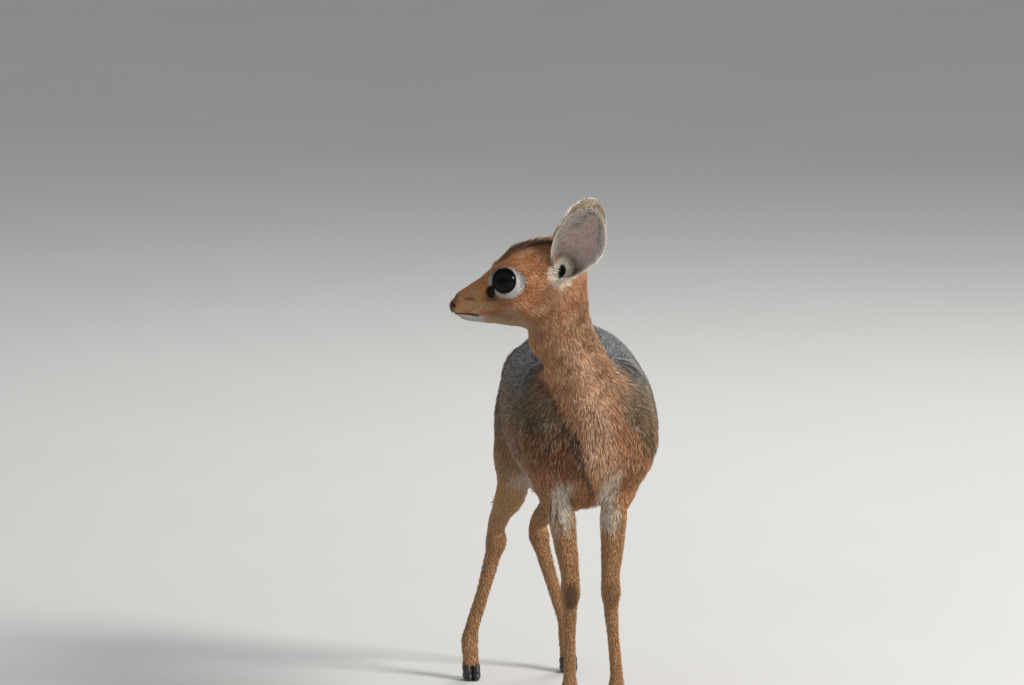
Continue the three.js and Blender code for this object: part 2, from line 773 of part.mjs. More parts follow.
// Ears: a leaf-shaped cup, rolled into a tube at its root and opening out towards its tip
const EAR_ROWS = 8;
const EAR_COLUMNS = 8;
const EAR_ROLL = { root: 2.9, tip: 0.75, opens: 0.14, over: 0.44 };
const EAR_WIDEST = 0.55;
const EAR_ROOT_WIDTH = 0.36;
function earRow(t) {
  const widening = THREE.MathUtils.smoothstep(t, 0.08, EAR_WIDEST);
  const tapering = (1 - (Math.max(t - EAR_WIDEST, 0) / (1.01 - EAR_WIDEST)) ** 2.2) ** 0.6;
  const half = (EAR_WIDTH / 2) * THREE.MathUtils.lerp(EAR_ROOT_WIDTH, 1, widening) * tapering;
  const opened = THREE.MathUtils.clamp((t - EAR_ROLL.opens) / EAR_ROLL.over, 0, 1);
  const roll = THREE.MathUtils.lerp(EAR_ROLL.root, EAR_ROLL.tip, opened ** 0.7);
  return { half, roll, radius: half / Math.sin(Math.min(roll, Math.PI / 2)) };
}
function earPlace({ root, axis, open, sideways }, t, share, depth) {
  const { half, roll, radius } = earRow(t);
  const around = share * roll;
  const r = Math.max(radius - depth, 0.4);
  const middle = (radius - half * 0.5) * THREE.MathUtils.smoothstep(t, 0, 0.35);
  return root.clone()
    .addScaledVector(axis, t * EAR_LENGTH)
    .addScaledVector(sideways, Math.sin(around) * r)
    .addScaledVector(open, middle - Math.cos(around) * r);
}
function ear(side) {
  const frame = earFrame(side);
  const corners = [];
  for (const wall of [0, 1]) {
    for (let row = 0; row <= EAR_ROWS; row++) {
      for (let column = 0; column <= EAR_COLUMNS; column++) {
        const atRim = column % EAR_COLUMNS === 0 || row === EAR_ROWS;
        const depth = wall * EAR_WALL * (atRim ? 0.6 : 1);
        corners.push(earPlace(frame, row / EAR_ROWS, (column / EAR_COLUMNS) * 2 - 1, depth).toArray());
      }
    }
  }
  return sheetSolid(corners, EAR_ROWS, EAR_COLUMNS, side);
}

// Hair inside each ear: locks from the wall near the front and back rims, lying up and across the cup
const EAR_LOCKS = [
  { along: 0.32, share: -0.8 }, { along: 0.4, share: -0.8 }, { along: 0.48, share: -0.8 },
  { along: 0.56, share: -0.8 }, { along: 0.36, share: 0.8 }, { along: 0.44, share: 0.8 },
  { along: 0.52, share: 0.8 }, { along: 0.42, share: -0.45 },
];
function earHair(side) {
  const frame = earFrame(side);
  return EAR_LOCKS.map(({ along, share }) => {
    const at = earPlace(frame, along, share, EAR_WALL);
    const out = at.clone().sub(earPlace(frame, along, share, 0)).normalize();
    const inwards = frame.sideways.clone().multiplyScalar(-Math.sign(share) * draw(0.35, 0.6));
    const size = { ...EAR_LOCK, length: EAR_LOCK.length * draw(0.8, 1.1) };
    const lie = frame.axis.clone().add(inwards);
    return lock({ at, out, lie, size, sink: 0.7, lift: draw(0.14, 0.2), curl: -0.05 });
  });
}

// Two grids of corners, an outer and an inner one, closed round their rims
function sheetSolid(corners, rows, columns, turn) {
  const layer = (rows + 1) * (columns + 1);
  const at = (wall, row, column) => wall * layer + row * (columns + 1) + column;
  const faces = [];
  const add = (ring) => faces.push(...quad(corners, turn > 0 ? ring : ring.reverse()));
  for (let row = 0; row < rows; row++) {
    for (let column = 0; column < columns; column++) {
      add([at(0, row, column), at(0, row, column + 1), at(0, row + 1, column + 1), at(0, row + 1, column)]);
      add([at(1, row, column), at(1, row + 1, column), at(1, row + 1, column + 1), at(1, row, column + 1)]);
    }
  }
  for (let row = 0; row < rows; row++) {
    add([at(0, row, 0), at(0, row + 1, 0), at(1, row + 1, 0), at(1, row, 0)]);
    add([at(0, row, columns), at(1, row, columns), at(1, row + 1, columns), at(0, row + 1, columns)]);
  }
  for (let column = 0; column < columns; column++) {
    add([at(0, 0, column), at(1, 0, column), at(1, 0, column + 1), at(0, 0, column + 1)]);
    add([at(0, rows, column), at(0, rows, column + 1), at(1, rows, column + 1), at(1, rows, column)]);
  }
  return facingOut(corners, faces);
}

// Cuts a piece back from the surface of what carries it, which is moved by the gap away along a
// direction and to every side of it
function seat(piece, carrier, direction) {
  const away = direction.clone().normalize();
  const aside = new THREE.Vector3(1, 0, 0).cross(away).normalize();
  const across = new THREE.Vector3().crossVectors(away, aside);
  const shifts = [away, aside, across, aside.clone().negate(), across.clone().negate()];
  let cut = piece.subtract(carrier);
  for (const shift of shifts) {
    cut = cut.subtract(carrier.translate(shift.clone().multiplyScalar(GAP).toArray()));
  }
  return largest(cut);
}
for (const side of [1, -1]) {
  const away = UP.clone().addScaledVector(LEFT, side * 0.8).addScaledVector(FORWARD, -0.3);
  const whole = fuse([ear(side), ...earHair(side)]);
  addNode(side > 0 ? "ear_left" : "ear_right", seat(whole, head, away), RUFOUS);
}

// Legs, each parted at its knee or hock
const FORELEG_CELL = [5.6, 6.2, 11];
const THIGH_CELL = [7.2, 8.4, 9.2];
const SHANK_CELL = [5, 5.2, 10.4];
const HOOF_CELL = [3.5, 5, 4];
const CORONET = { slope: 0.34, height: HOOF_HEIGHT };
function coronetPlane([x, y], facing) {
  const point = new THREE.Vector3(x, y, CORONET.height);
  return { point, normal: new THREE.Vector3(0, facing * CORONET.slope, facing) };
}
function partLeg(name, limbs, [low, high], space, { joint, foot, locks }, cells) {
  const above = block([-200, -100, joint + GAP / 2], [200, 400, 300]);
  const below = block([-200, -100, 0], [200, 400, joint - GAP / 2]);
  const upper = facet(limbs, [low[0], low[1], joint - 12], high, cells.upper);
  const whole = fuse([upper, ...locks]);
  addNode(`${name}_upper`, largest(whole.intersect(above).intersect(space)), OCHRE);
  const lower = facet(limbs, [low[0], low[1], 0], [high[0], high[1], joint + 12], cells.lower);
  return lower.intersect(below).intersect(halfSpace(coronetPlane(foot, 1)));
}

// Hooves: two narrow pointed ones on each foot, with flat soles, and two small claws behind the pastern
function hoof(foot, side) {
  const [x, y] = foot;
  const centre = x + side * (HOOF_WIDTH + GAP) / 2;
  const toe = y - HOOF_LENGTH * 0.62;
  const heel = y + HOOF_LENGTH * 0.38;
  const inner = HOOF_WIDTH / 2;
  const sole = limb([
    [centre, heel - 3, 3.4, 3.6, 3.8],
    [centre, y - 3, 4, 4, inner],
    [centre - side * 0.6, toe + 4, 3.4, 3.4, 3],
    [centre - side * 1.6, toe + 1.6, 2.4, 1.8, 1.6],
  ], { blend: 3 });
  const wall = limb([
    [centre, heel - 4.5, 11, 5, inner],
    [centre, y - 1.5, 12, 5.2, inner],
    [centre - side * 0.4, toe + 9, 8, 4.2, inner * 0.86],
    [centre - side * 0.9, toe + 4.6, 4.6, 3, inner * 0.62],
  ], { blend: 4 });
  const low = [centre - 8, toe - 4, -4];
  const high = [centre + 8, heel + 6, 22];
  const whole = facet([sole, wall], low, high, HOOF_CELL);
  const cleft = side > 0 ? block([x + GAP / 2, y - 60, 0], [x + 40, y + 60, 60])
    : block([x - 40, y - 60, 0], [x - GAP / 2, y + 60, 60]);
  return whole.intersect(cleft).intersect(halfSpace(opposite(coronetPlane(foot, 1))));
}
function claw([x, y], side) {
  const cone = new THREE.ConeGeometry(2.4, CLAW_LENGTH, 8);
  cone.rotateX(2.5);
  return solidOf(cone.translate(x + side * 4.6, y + 16.5, 24.5));
}
function finishLeg(name, lower, foot) {
  for (const side of [1, -1]) {
    const where = side > 0 ? "left" : "right";
    addNode(`hoof_${name}_${where}`, hoof(foot, side), HORN);
    const direction = new THREE.Vector3(side * 0.4, 1, -0.4);
    addNode(`dewclaw_${name}_${where}`, seat(claw(foot, side), lower, direction), HORN);
  }
  addNode(`${name}_lower`, lower, OCHRE);
}

// Long pale locks over the front of each foreleg, just below the breast
const LEG_LOCKS = [-0.75, 0, 0.75];
function breastLocks({ arm, shoulder }) {
  return LEG_LOCKS.flatMap((around) => [0, 1].map((row) => {
    const angle = around + (row ? 0.35 : 0);
    const direction = new THREE.Vector3(Math.sin(angle), -Math.cos(angle), 0);
    const place = arm.points[row ? 7 : 4].at;
    const size = { ...LEG_LOCK, length: LEG_LOCK.length * draw(0.8, 1.1) };
    return lock({
      ...surface([arm, shoulder], place, direction),
      lie: UP.clone().negate(),
      size, sink: 1.6, lift: draw(0.16, 0.2), curl: 0.05, turn: draw(-0.15, 0.15),
    });
  }));
}

for (const [where, leg] of Object.entries(FORELEGS)) {
  const name = `foreleg_${where}`;
  const [inner, outer] = [leg.side * -6, leg.side * 66];
  const region = [
    [Math.min(inner, outer), -34, 0],
    [Math.max(inner, outer), 70, CHEST_CUT + 12],
  ];
  const own = [TRUNK, BRISKET, leg.shoulder, leg.arm];
  const cuts = { joint: KNEE_CUT, foot: leg.foot, locks: breastLocks(leg) };
  const cells = { upper: FORELEG_CELL, lower: SHANK_CELL };
  finishLeg(name, partLeg(name, own, region, foreSpace(leg.side, -GAP / 2), cuts, cells), leg.foot);
}
for (const [where, leg] of Object.entries(HINDLEGS)) {
  const name = `hindleg_${where}`;
  const [inner, outer] = leg.side > 0 ? [-34, 70] : [-2, -104];
  const region = [
    [Math.min(inner, outer), HIND_START - 8, 0],
    [Math.max(inner, outer), 340, THIGH_CUT + 12],
  ];
  const middle = MIDLINE_AT_THIGHS + (leg.side * GAP) / 2;
  const otherSide = block(
    [Math.min(middle, middle - leg.side * 80), 100, GROIN_FLOOR],
    [Math.max(middle, middle - leg.side * 80), 400, 400],
  );
  const own = [TRUNK, GROIN, leg.thigh, leg.shank, leg.heel];
  const cuts = { joint: HOCK_CUT, foot: leg.foot, locks: [] };
  const cells = { upper: THIGH_CELL, lower: SHANK_CELL };
  const space = hindSpace(-GAP / 2).subtract(otherSide);
  finishLeg(name, partLeg(name, own, region, space, cuts, cells), leg.foot);
}

// Tail, short and flat, with a tuft of locks that hang down from its end
const TAIL_LOCKS = 5;
function tailHair() {
  return Array.from({ length: TAIL_LOCKS }, (_, i) => {
    const around = (i / TAIL_LOCKS) * Math.PI * 2;
    const direction = new THREE.Vector3(Math.sin(around), Math.cos(around), 0);
    const size = { ...TAIL_LOCK, length: TAIL_LOCK.length * draw(0.8, 1.1) };
    return lock({
      ...surface([TAIL_LINE], TAIL_LINE.points[i % 2 ? 6 : 5].at, direction),
      lie: UP.clone().negate(),
      size, sink: 2, lift: draw(0.05, 0.12), curl: 0.05, turn: draw(-0.15, 0.15),
    });
  });
}
const TAIL_CELL = [6.4, 6.4, 8.4];
const tail = facet([TAIL_LINE], [-22, 285, 270], [16, 345, 345], TAIL_CELL);
const wholeTail = fuse([tail, ...tailHair()]);
addNode("tail", seat(wholeTail, torso, new THREE.Vector3(0, 1, 0.1)), GRIZZLE);

// The model stands with the middle of its box's foot at the origin
const bounds = new THREE.Box3().setFromObject(group);
const middle = bounds.getCenter(new THREE.Vector3());
group.position.set(-middle.x, -middle.y, -bounds.min.z);
group.updateMatrixWorld(true);

export default group;
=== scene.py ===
# %% [markdown]
# # A dik-dik, life-size, standing still
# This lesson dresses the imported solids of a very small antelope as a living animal: one seamless skin, a coat
# of short overlapping tufts, glossy eyes under real lids, cupped ears, a moist nose and dark hooves. The
# frame says where everything is. Shapes are worked out here in millimetres, and become metres at the end.

# %% Load the frame and keep its box
import math

import bpy
import numpy as np
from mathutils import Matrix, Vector


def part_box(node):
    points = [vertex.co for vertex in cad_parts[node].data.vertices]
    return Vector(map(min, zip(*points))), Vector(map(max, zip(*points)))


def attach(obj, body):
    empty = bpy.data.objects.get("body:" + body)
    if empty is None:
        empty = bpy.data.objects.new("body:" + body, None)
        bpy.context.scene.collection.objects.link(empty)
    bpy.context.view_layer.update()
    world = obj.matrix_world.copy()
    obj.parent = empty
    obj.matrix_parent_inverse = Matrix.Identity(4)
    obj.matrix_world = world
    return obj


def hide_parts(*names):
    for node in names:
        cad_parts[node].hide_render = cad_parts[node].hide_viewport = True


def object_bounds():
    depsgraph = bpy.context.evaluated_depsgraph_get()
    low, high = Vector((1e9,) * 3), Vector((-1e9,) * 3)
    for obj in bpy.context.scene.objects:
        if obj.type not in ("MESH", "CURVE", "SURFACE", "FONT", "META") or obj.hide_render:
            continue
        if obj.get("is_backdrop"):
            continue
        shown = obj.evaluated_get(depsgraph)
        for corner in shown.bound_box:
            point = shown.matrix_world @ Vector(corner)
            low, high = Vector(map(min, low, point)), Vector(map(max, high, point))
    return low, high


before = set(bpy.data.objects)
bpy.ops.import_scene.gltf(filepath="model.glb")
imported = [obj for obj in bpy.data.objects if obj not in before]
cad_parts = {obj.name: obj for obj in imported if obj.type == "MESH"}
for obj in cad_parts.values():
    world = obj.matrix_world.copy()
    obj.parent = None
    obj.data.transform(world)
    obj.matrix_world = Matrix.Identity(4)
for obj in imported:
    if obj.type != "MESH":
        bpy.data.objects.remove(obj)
cad_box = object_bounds()
print("the frame has", len(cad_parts), "nodes")

# %% [markdown]
# ## Where things are
# The body is worked out in the animal's own place: her forefeet stand round x = 0, y = 0, and she faces -Y.
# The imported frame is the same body, moved so that its box stands on the origin. The left eye tells how far.

# %% The place of the head and the shift into the frame
MM = 0.001
HEAD_TURN = math.radians(82)
HEAD_PLACE = np.array([-82.5, -8.5, 433.5])
FORWARD = np.array([-math.sin(HEAD_TURN), math.cos(HEAD_TURN), 0.0])
LEFT = np.array([-math.cos(HEAD_TURN), -math.sin(HEAD_TURN), 0.0])
UP = np.array([0.0, 0.0, 1.0])
EYE_RADIUS = 13.0
EYE_SIDE = 16.5


def in_head(forward, left, up, side=1):
    """A place given by how far forward along the muzzle, out of the left cheek, and up it is."""
    return HEAD_PLACE + forward * FORWARD + side * left * LEFT + up * UP


def head_place(places):
    """Forward, left and up of each place, from the middle of the head at the eyes."""
    out = places - HEAD_PLACE
    return out @ FORWARD, out @ LEFT, out @ UP


def unit(vectors):
    return vectors / np.maximum(np.linalg.norm(vectors, axis=-1, keepdims=True), 1e-9)


def ramp(value, start, end):
    """0 before start, 1 after end, and smooth between."""
    t = np.clip((value - start) / (end - start), 0, 1)
    return t * t * (3 - 2 * t)


low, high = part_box("eye_left")
SHIFT = np.array((low + high) / 2) / MM - in_head(0, EYE_SIDE, 0)
print("the frame is shifted by", SHIFT.round(2), "mm")

# %% [markdown]
# ## The camera
# The photo looks at her chest from just off straight ahead and a little above, from far away with a long
# lens. A far camera keeps the legs parallel. The scale at her forefeet is just over one pixel a millimetre.

# %% Camera at the photo's viewing angle
IMAGE_WIDTH = 1024
PIXELS_PER_MM = 1.05
VIEW_TURN = math.radians(-8)
VIEW_RISE = math.radians(8.5)
DISTANCE = 9000.0
AIM_ACROSS = -75.2
AIM_UP = 365.2
BACK = np.array([
    math.sin(VIEW_TURN) * math.cos(VIEW_RISE),
    -math.cos(VIEW_TURN) * math.cos(VIEW_RISE),
    math.sin(VIEW_RISE),
])
RIGHT = np.array([math.cos(VIEW_TURN), math.sin(VIEW_TURN), 0.0])
ABOVE = np.cross(BACK, RIGHT)


def make_camera():
    data = bpy.data.cameras.new("camera")
    data.sensor_width = 36.0
    data.lens = PIXELS_PER_MM * DISTANCE * data.sensor_width / IMAGE_WIDTH
    data.clip_end = 100.0
    camera = bpy.data.objects.new("camera", data)
    aim = AIM_ACROSS * RIGHT + AIM_UP * ABOVE
    camera.location = Vector((aim + DISTANCE * BACK + SHIFT) * MM)
    camera.rotation_euler = Vector(BACK).to_track_quat("Z", "Y").to_euler()
    bpy.context.scene.collection.objects.link(camera)
    bpy.context.scene.camera = camera
    return camera


camera = make_camera()
print("lens", round(camera.data.lens, 1), "mm, camera at", [round(v, 2) for v in camera.location])

# %% [markdown]
# ## The body as a field
# A limb is a chain of round stations, each with a radius and a half width, and a smooth curve runs through
# them. The distance to a limb is easy to work out, and a blended minimum of many limbs gives one smooth
# body, as clay rolls pressed together do. Each limb also knows its region of the coat and, from its first
# station to its last, the way that the hair lies.


# %% Limbs, their distance, and their blend
REACH = 12.0


def smooth_line(points, steps):
    """Places along a centripetal Catmull-Rom curve, steps to each stretch."""
    ends = [2 * points[0] - points[1], *points, 2 * points[-1] - points[-2]]
    line = []
    for i in range(1, len(ends) - 2):
        a, b, c, d = ends[i - 1], ends[i], ends[i + 1], ends[i + 2]
        before, here, after = (max(np.linalg.norm(q - p), 1e-4) ** 0.5 for p, q in ((a, b), (b, c), (c, d)))
        start = ((b - a) / before - (c - a) / (before + here) + (c - b) / here) * here
        end = ((c - b) / here - (d - b) / (here + after) + (d - c) / after) * here
        for step in range(steps):
            t = step / steps
            square = 3 * (c - b) - 2 * start - end
            cube = 2 * (b - c) + start + end
            line.append(b + start * t + square * t**2 + cube * t**3)
    return np.array([*line, points[-1]])


class Limb:
    """A chain of stations x, y, z, radius, half width, with its region and the sense of its hair."""

    def __init__(self, stations, blend=8.0, across=(1, 0, 0), region="trunk", steps=4, lie=1):
        self.at = smooth_line([np.array(s[:3], float) for s in stations], steps)
        places = np.arange(len(self.at)) / steps
        i = np.minimum(places.astype(int), len(stations) - 2)
        t = places - i
        t = (t + t * t * (3 - 2 * t)) / 2
        radius = np.array([s[3] for s in stations], float)
        ratio = np.array([s[4] / s[3] for s in stations], float)
        self.radius = radius[i] * (1 - t) + radius[i + 1] * t
        self.ratio = ratio[i] * (1 - t) + ratio[i + 1] * t
        self.across = np.array(across, float)
        self.blend = blend
        self.region = region
        self.course = lie * unit(np.gradient(self.at, axis=0))
        reach = (self.radius * np.maximum(self.ratio, 1))[:, None] + max(blend, REACH)
        self.low = (self.at - reach).min(0)
        self.high = (self.at + reach).max(0)

    def nearest(self, places):
        """For each place: the distance to the limb, and how far along its chain it is."""
        best = np.full(len(places), np.inf)
        along = np.zeros(len(places))
        for i in range(len(self.at) - 1):
            step = self.at[i + 1] - self.at[i]
            out = places - self.at[i]
            t = np.clip(out @ step / (step @ step), 0, 1)
            out = out - t[:, None] * step
            side = out @ self.across
            ratio = self.ratio[i] + (self.ratio[i + 1] - self.ratio[i]) * t
            square = (out * out).sum(1) - side**2 + (side / ratio) ** 2
            distance = np.sqrt(square) - self.radius[i] - (self.radius[i + 1] - self.radius[i]) * t
            closer = distance < best
            best[closer] = distance[closer]
            along[closer] = i + t[closer]
        return best, along


def between(values, along):
    """Values of a chain's stations, drawn straight between them."""
    i = np.minimum(along.astype(int), len(values) - 2)
    t = (along - i)[:, None]
    return values[i] * (1 - t) + values[i + 1] * t


def blended_min(a, b, blend):
    """The smaller of two fields, rounded where they are nearly equal."""
    near = np.maximum(blend - np.abs(a - b), 0) / blend
    return np.minimum(a, b) - near * near * blend / 4


FAR = 60.0


def limbs_distance(limbs, places):
    """The field of several limbs together: below zero inside. Far places keep one large value."""
    distance = np.full(len(places), FAR)
    for limb in limbs:
        near = ((places > limb.low) & (places < limb.high)).all(1)
        if near.any():
            one, _ = limb.nearest(places[near])
            distance[near] = blended_min(distance[near], one, limb.blend)
    return distance


# %% [markdown]
# ## Her limbs, by named stations
# Stations are x, y, z, the radius and the half width across. The trunk is deep at the chest and arched at
# the loin, the neck is slim and upright, and the head is a small wedge that tapers to the nose.

# %% Trunk, neck and tail
TRUNK = Limb([
    (-2, -4, 290, 38, 38), (-2, 22, 284, 58, 60), (1, 62, 280, 70, 72), (4, 112, 283, 76, 74),
    (7, 165, 288, 75, 71), (9, 215, 290, 67, 55), (9, 255, 290, 52, 45), (3, 280, 287, 36, 36),
])
GROIN = Limb([(-6, 195, 248, 46, 41), (-6, 236, 236, 48, 42)], blend=16, region="belly")
BRISKET = Limb([(-1, -8, 258, 28, 30), (-1, 18, 234, 25, 24)], blend=18, region="chest")
NECK = Limb([
    (-4, 20, 296, 49, 43), (-10, 4, 330, 38, 32.5), (-22, -6, 366, 31, 27.5), (-34, -9, 398, 28, 25),
    (-37, -9, 416, 27, 24),
], blend=17, region="neck", lie=-1)
TAIL = Limb([(-4, 300, 330, 11, 10), (-4, 318, 312, 10, 10), (-4, 326, 286, 5, 6)], blend=10, region="tail")


# %% Head: skull, muzzle, jaw, brows, cheeks, lids and ear roots
def head_limb(stations, blend, region="face", lie=-1):
    placed = [(*in_head(*s[:3]), *s[3:]) for s in stations]
    return Limb(placed, blend=blend, across=LEFT, region=region, lie=lie)


LID = EYE_RADIUS + 1.7
HEAD_LIMBS = [
    # Skull, back of the head, muzzle and jaw.
    head_limb([(-52, 0, 2, 24, 21), (-38, 0, 7, 29, 25), (-18, 0, 1, 27.5, 24)], 12),
    head_limb([(-48, 0, -52, 28, 25), (-49, 0, -24, 28, 23)], 12, region="neck"),
    head_limb([
        (-18, 0, 0, 28, 23), (0, 0, -11, 25, 20), (18, 0, -18, 19.2, 15.5), (34, 0, -23.2, 14.8, 11.5),
        (45.5, 0, -26.5, 8.6, 8.5),
    ], 10),
    head_limb([
        (-30, 0, -28, 21, 18), (-8, 0, -29, 16.5, 14), (14, 0, -31.5, 11.5, 10.5), (32, 0, -33.5, 6.5, 7.2),
        (38, 0, -33.5, 4.2, 5.4),
    ], 7),
]
for side in (1, -1):
    HEAD_LIMBS += [
        # Brow, cheek, lids, and the root of the ear.
        head_limb([
            (8, side * 15.5, 10, 5, 5), (-10, side * 20, 15, 6, 6), (-20, side * 20, 6, 6, 6),
        ], 8, lie=1),
        head_limb([(-26, side * 12, -26, 15, 10), (-10, side * 15, -18, 10, 8)], 12),
        head_limb([(0, side * EYE_SIDE, 0, LID, LID), (-0.5, side * EYE_SIDE, 0.2, LID, LID)], 5, lie=1),
        head_limb([(-50, side * 10, 8, 14, 13), (-54, side * 13, 8, 10, 9.5)], 9, lie=1),
    ]
print("the head has", len(HEAD_LIMBS), "limbs")


# %% Legs
def foreleg(side, foot, knee, top):
    """Shoulder and leg, from the foot's x and y, and the x of the knee and of the elbow."""
    fx, fy = foot
    shoulder = Limb([
        (side * 36, 48, 318, 26, 20), (side * 41, 4, 276, 31, 22), (side * 34, 30, 240, 26, 17),
    ], blend=16, region="shoulder")
    arm = Limb([
        (side * 32, 34, 232, 24, 15), (top, 20, 208, 18, 12.6), ((top + knee) / 2, 9, 176, 12.5, 11),
        (knee, 2, 146, 9.6, 8.8), (knee, 0, 130, 10.4, 9.4), (knee * 0.9 + fx * 0.1, 3, 114, 8, 7),
        ((knee + fx) / 2, 4, 84, 6.4, 5.5), (fx, fy + 4, 50, 7, 6), (fx, fy + 3, 37, 9, 7.8),
        (fx, fy - 3, 23, 7.8, 7.8), (fx, fy - 8, 8, 8.6, 9),
    ], blend=10, region="foreleg")
    return {"limbs": [shoulder, arm], "foot": (fx, fy - 8)}


def hindleg(hip, stifle, hock, foot):
    """Thigh, shank and heel, from the places of hip, stifle and hock, and the foot's x and y."""
    fx, fy = foot
    sx, sy, sz = stifle
    kx, ky, kz = hock
    thigh = Limb([
        (hip[0], hip[1] + 8, hip[2], 38, 22),
        ((hip[0] + sx) / 2, (hip[1] + sy) / 2 + 12, (hip[2] + sz) / 2, 42, 23),
        (sx, sy + 8, sz - 2, 30, 19),
    ], blend=16, region="thigh")
    shank = Limb([
        (sx, sy + 8, sz - 4, 28, 19), (sx * 0.9 + kx * 0.1, sy + 32, sz - 42, 20, 14),
        (sx * 0.3 + kx * 0.7, sy * 0.3 + ky * 0.7 + 2, kz + 34, 12, 9.5), (kx, ky - 2, kz + 14, 9.5, 8.5),
        (kx, ky, kz, 11, 10), (kx * 0.85 + fx * 0.15, ky - 1, kz - 16, 8.6, 7.8),
        ((kx + fx) / 2, (ky + fy) / 2 + 1, 84, 7, 6.4), (fx * 0.9 + kx * 0.1, fy + 4, 50, 7.4, 6.8),
        (fx, fy + 3, 36, 9.4, 8.4), (fx, fy - 3, 22, 8, 8), (fx, fy - 8, 8, 8.8, 9),
    ], blend=10, region="hindleg")
    heel = Limb([
        (kx, ky + 6, kz + 2, 5.5, 5.5), (kx, ky + 9, kz + 13, 5, 5),
        (kx * 0.8 + sx * 0.2, ky - 8, kz + 42, 5, 5),
    ], blend=8, region="hindleg", lie=-1)
    return {"limbs": [thigh, shank, heel], "foot": (fx, fy - 8)}


LEGS = {
    "foreleg_left": foreleg(1, (25, 0), 19, 25),
    "foreleg_right": foreleg(-1, (-20, 0), -20, -27),
    "hindleg_left": hindleg((31, 240, 299), (41, 212, 236), (-6, 306, 133), (20, 294)),
    "hindleg_right": hindleg((-29, 236, 290), (-44, 190, 236), (-53, 275, 133), (-80, 265)),
}
BODY = [TRUNK, GROIN, BRISKET, NECK]
for leg in LEGS.values():
    BODY += leg["limbs"]
BODY += [TAIL, *HEAD_LIMBS]
print("the body has", len(BODY), "limbs")

# %% [markdown]
# ## What each place on the body belongs to
# Skin, colour and coat all ask the same questions of a place: which region is it in, which way does the
# hair lie, how long is the hair. The weights of the limbs answer them, and fade softly from one to the next.
# Each place also has a spot on an unwrap of the body: one strip for each limb, round it and along it.

# %% Regions of a place
REGIONS = ["trunk", "belly", "chest", "neck", "face", "shoulder", "foreleg", "thigh", "hindleg", "tail"]
FADE = 5.0
NEARBY = 15


def survey(places):
    """Region shares, the course of the hair, and the limb, turn and length of the spot on the unwrap."""
    distances = np.full((len(BODY), len(places)), FAR)
    alongs = np.zeros((len(BODY), len(places)))
    for k, limb in enumerate(BODY):
        near = ((places > limb.low - NEARBY) & (places < limb.high + NEARBY)).all(1)
        distances[k, near], alongs[k, near] = limb.nearest(places[near])
    weights = np.exp(-(distances - distances.min(0)) / FADE)
    weights /= weights.sum(0)
    share = {region: np.zeros(len(places)) for region in REGIONS}
    course = np.zeros((len(places), 3))
    for limb, weight, along in zip(BODY, weights, alongs):
        share[limb.region] += weight
        course += weight[:, None] * between(limb.course, along)
    closest = distances.argmin(0)
    spot = np.zeros((len(places), 3))
    spot[:, 0] = closest
    for k, limb in enumerate(BODY):
        mine = closest == k
        along = alongs[k, mine]
        out = places[mine] - between(limb.at, along)
        beside = np.cross(between(limb.course, along), limb.across)
        spot[mine, 1] = np.arctan2((out * beside).sum(1), out @ limb.across) / (2 * math.pi) + 0.5
        spot[mine, 2] = along
    return share, course, spot


# %% [markdown]
# ## The skin
# The surface of the field is found on a grid: each cell that the surface crosses gets one corner, and each
# grid edge that it crosses gets one face. Only cells near the surface are worked out finely. The skin lies
# inside the outline of the coat by the coat's depth, which is 3 mm on the trunk and 1 mm or less on the face.

# %% Coat depth
COAT_DEPTH = {
    "trunk": 3.0, "belly": 3.4, "chest": 3.0, "neck": 2.3, "face": 1.0, "shoulder": 2.8, "foreleg": 1.3,
    "thigh": 2.8, "hindleg": 1.4, "tail": 3.0,
}
MUZZLE = (5, 40)
MUZZLE_THINNING = 0.7


def coat_depth(places, share):
    depth = sum(share[region] * COAT_DEPTH[region] for region in REGIONS)
    forward, _, _ = head_place(places)
    return depth * (1 - MUZZLE_THINNING * ramp(forward, *MUZZLE) * share["face"])


# %% [markdown]
# ## Openings in the head
# The eyeball looks out between the lids, the nostrils are comma-shaped pits beside the tip of the nose, the
# mouth is a fine line, and a scent gland makes a bare pit in front of each eye. They are cut out of the
# field before it is faceted. The lids are a raised ring round each eye.

# %% Lids, nostrils, gland, mouth and ear holes
LID_OPENING = math.radians(55)
LID_RIM = EYE_RADIUS + 0.9
LID_EDGE = (LID_RIM * math.cos(LID_OPENING), LID_RIM * math.sin(LID_OPENING))
LID_THICKNESS = 1.1
SOCKET_DEPTH = 2.5
NOSTRIL, NOSTRIL_SIZE, NOSTRIL_SLOPE = (50.0, 5.6, -24.4), (2.9, 2.6, 1.4), 0.5
GLAND, GLAND_SIZE, GLAND_SLOPE = (14.9, 14.6, -10.5), (2.6, 3.4, 4.4), 0.25
MOUTH_CORNER = (25.5, -34.2)
MOUTH_FRONT = (56.0, -33.4)
MOUTH_CURVE = 1.2
LIP_GROOVE = {"depth": 1.1, "half": 0.85}
MUZZLE_FOLD = {"depth": 0.5, "half": 1.6}
FOLD_HEIGHT, FOLD_START, FOLD_END = -16.5, (24, 29), (41, 46)
EAR_ROOT = (-49, 12, -4)
EAR_HOLE, EAR_HOLE_SIZE = (-51, 23, 10), (6.5, 4.2)
EYES = {side: in_head(0, EYE_SIDE, 0, side) for side in (1, -1)}


def eye_axis(side):
    """The way that an eye looks."""
    return unit(LEFT * side + FORWARD * 0.28 + UP * 0.12)


def eye_frame(side):
    """The axis of an eye, and the ways beside and above it."""
    axis = eye_axis(side)
    beside = unit(np.cross(UP, axis))
    return axis, beside, np.cross(axis, beside)


def eye_view(places, side):
    """How far ahead of the eyeball's middle, and how far beside its axis, each place is."""
    out = places - EYES[side]
    ahead = out @ eye_axis(side)
    return ahead, np.sqrt(np.maximum((out * out).sum(1) - ahead**2, 0))


def carve(distance, cut, blend):
    """The field with a cut taken out: the greater of the two, rounded."""
    return -blended_min(-distance, cut, blend)


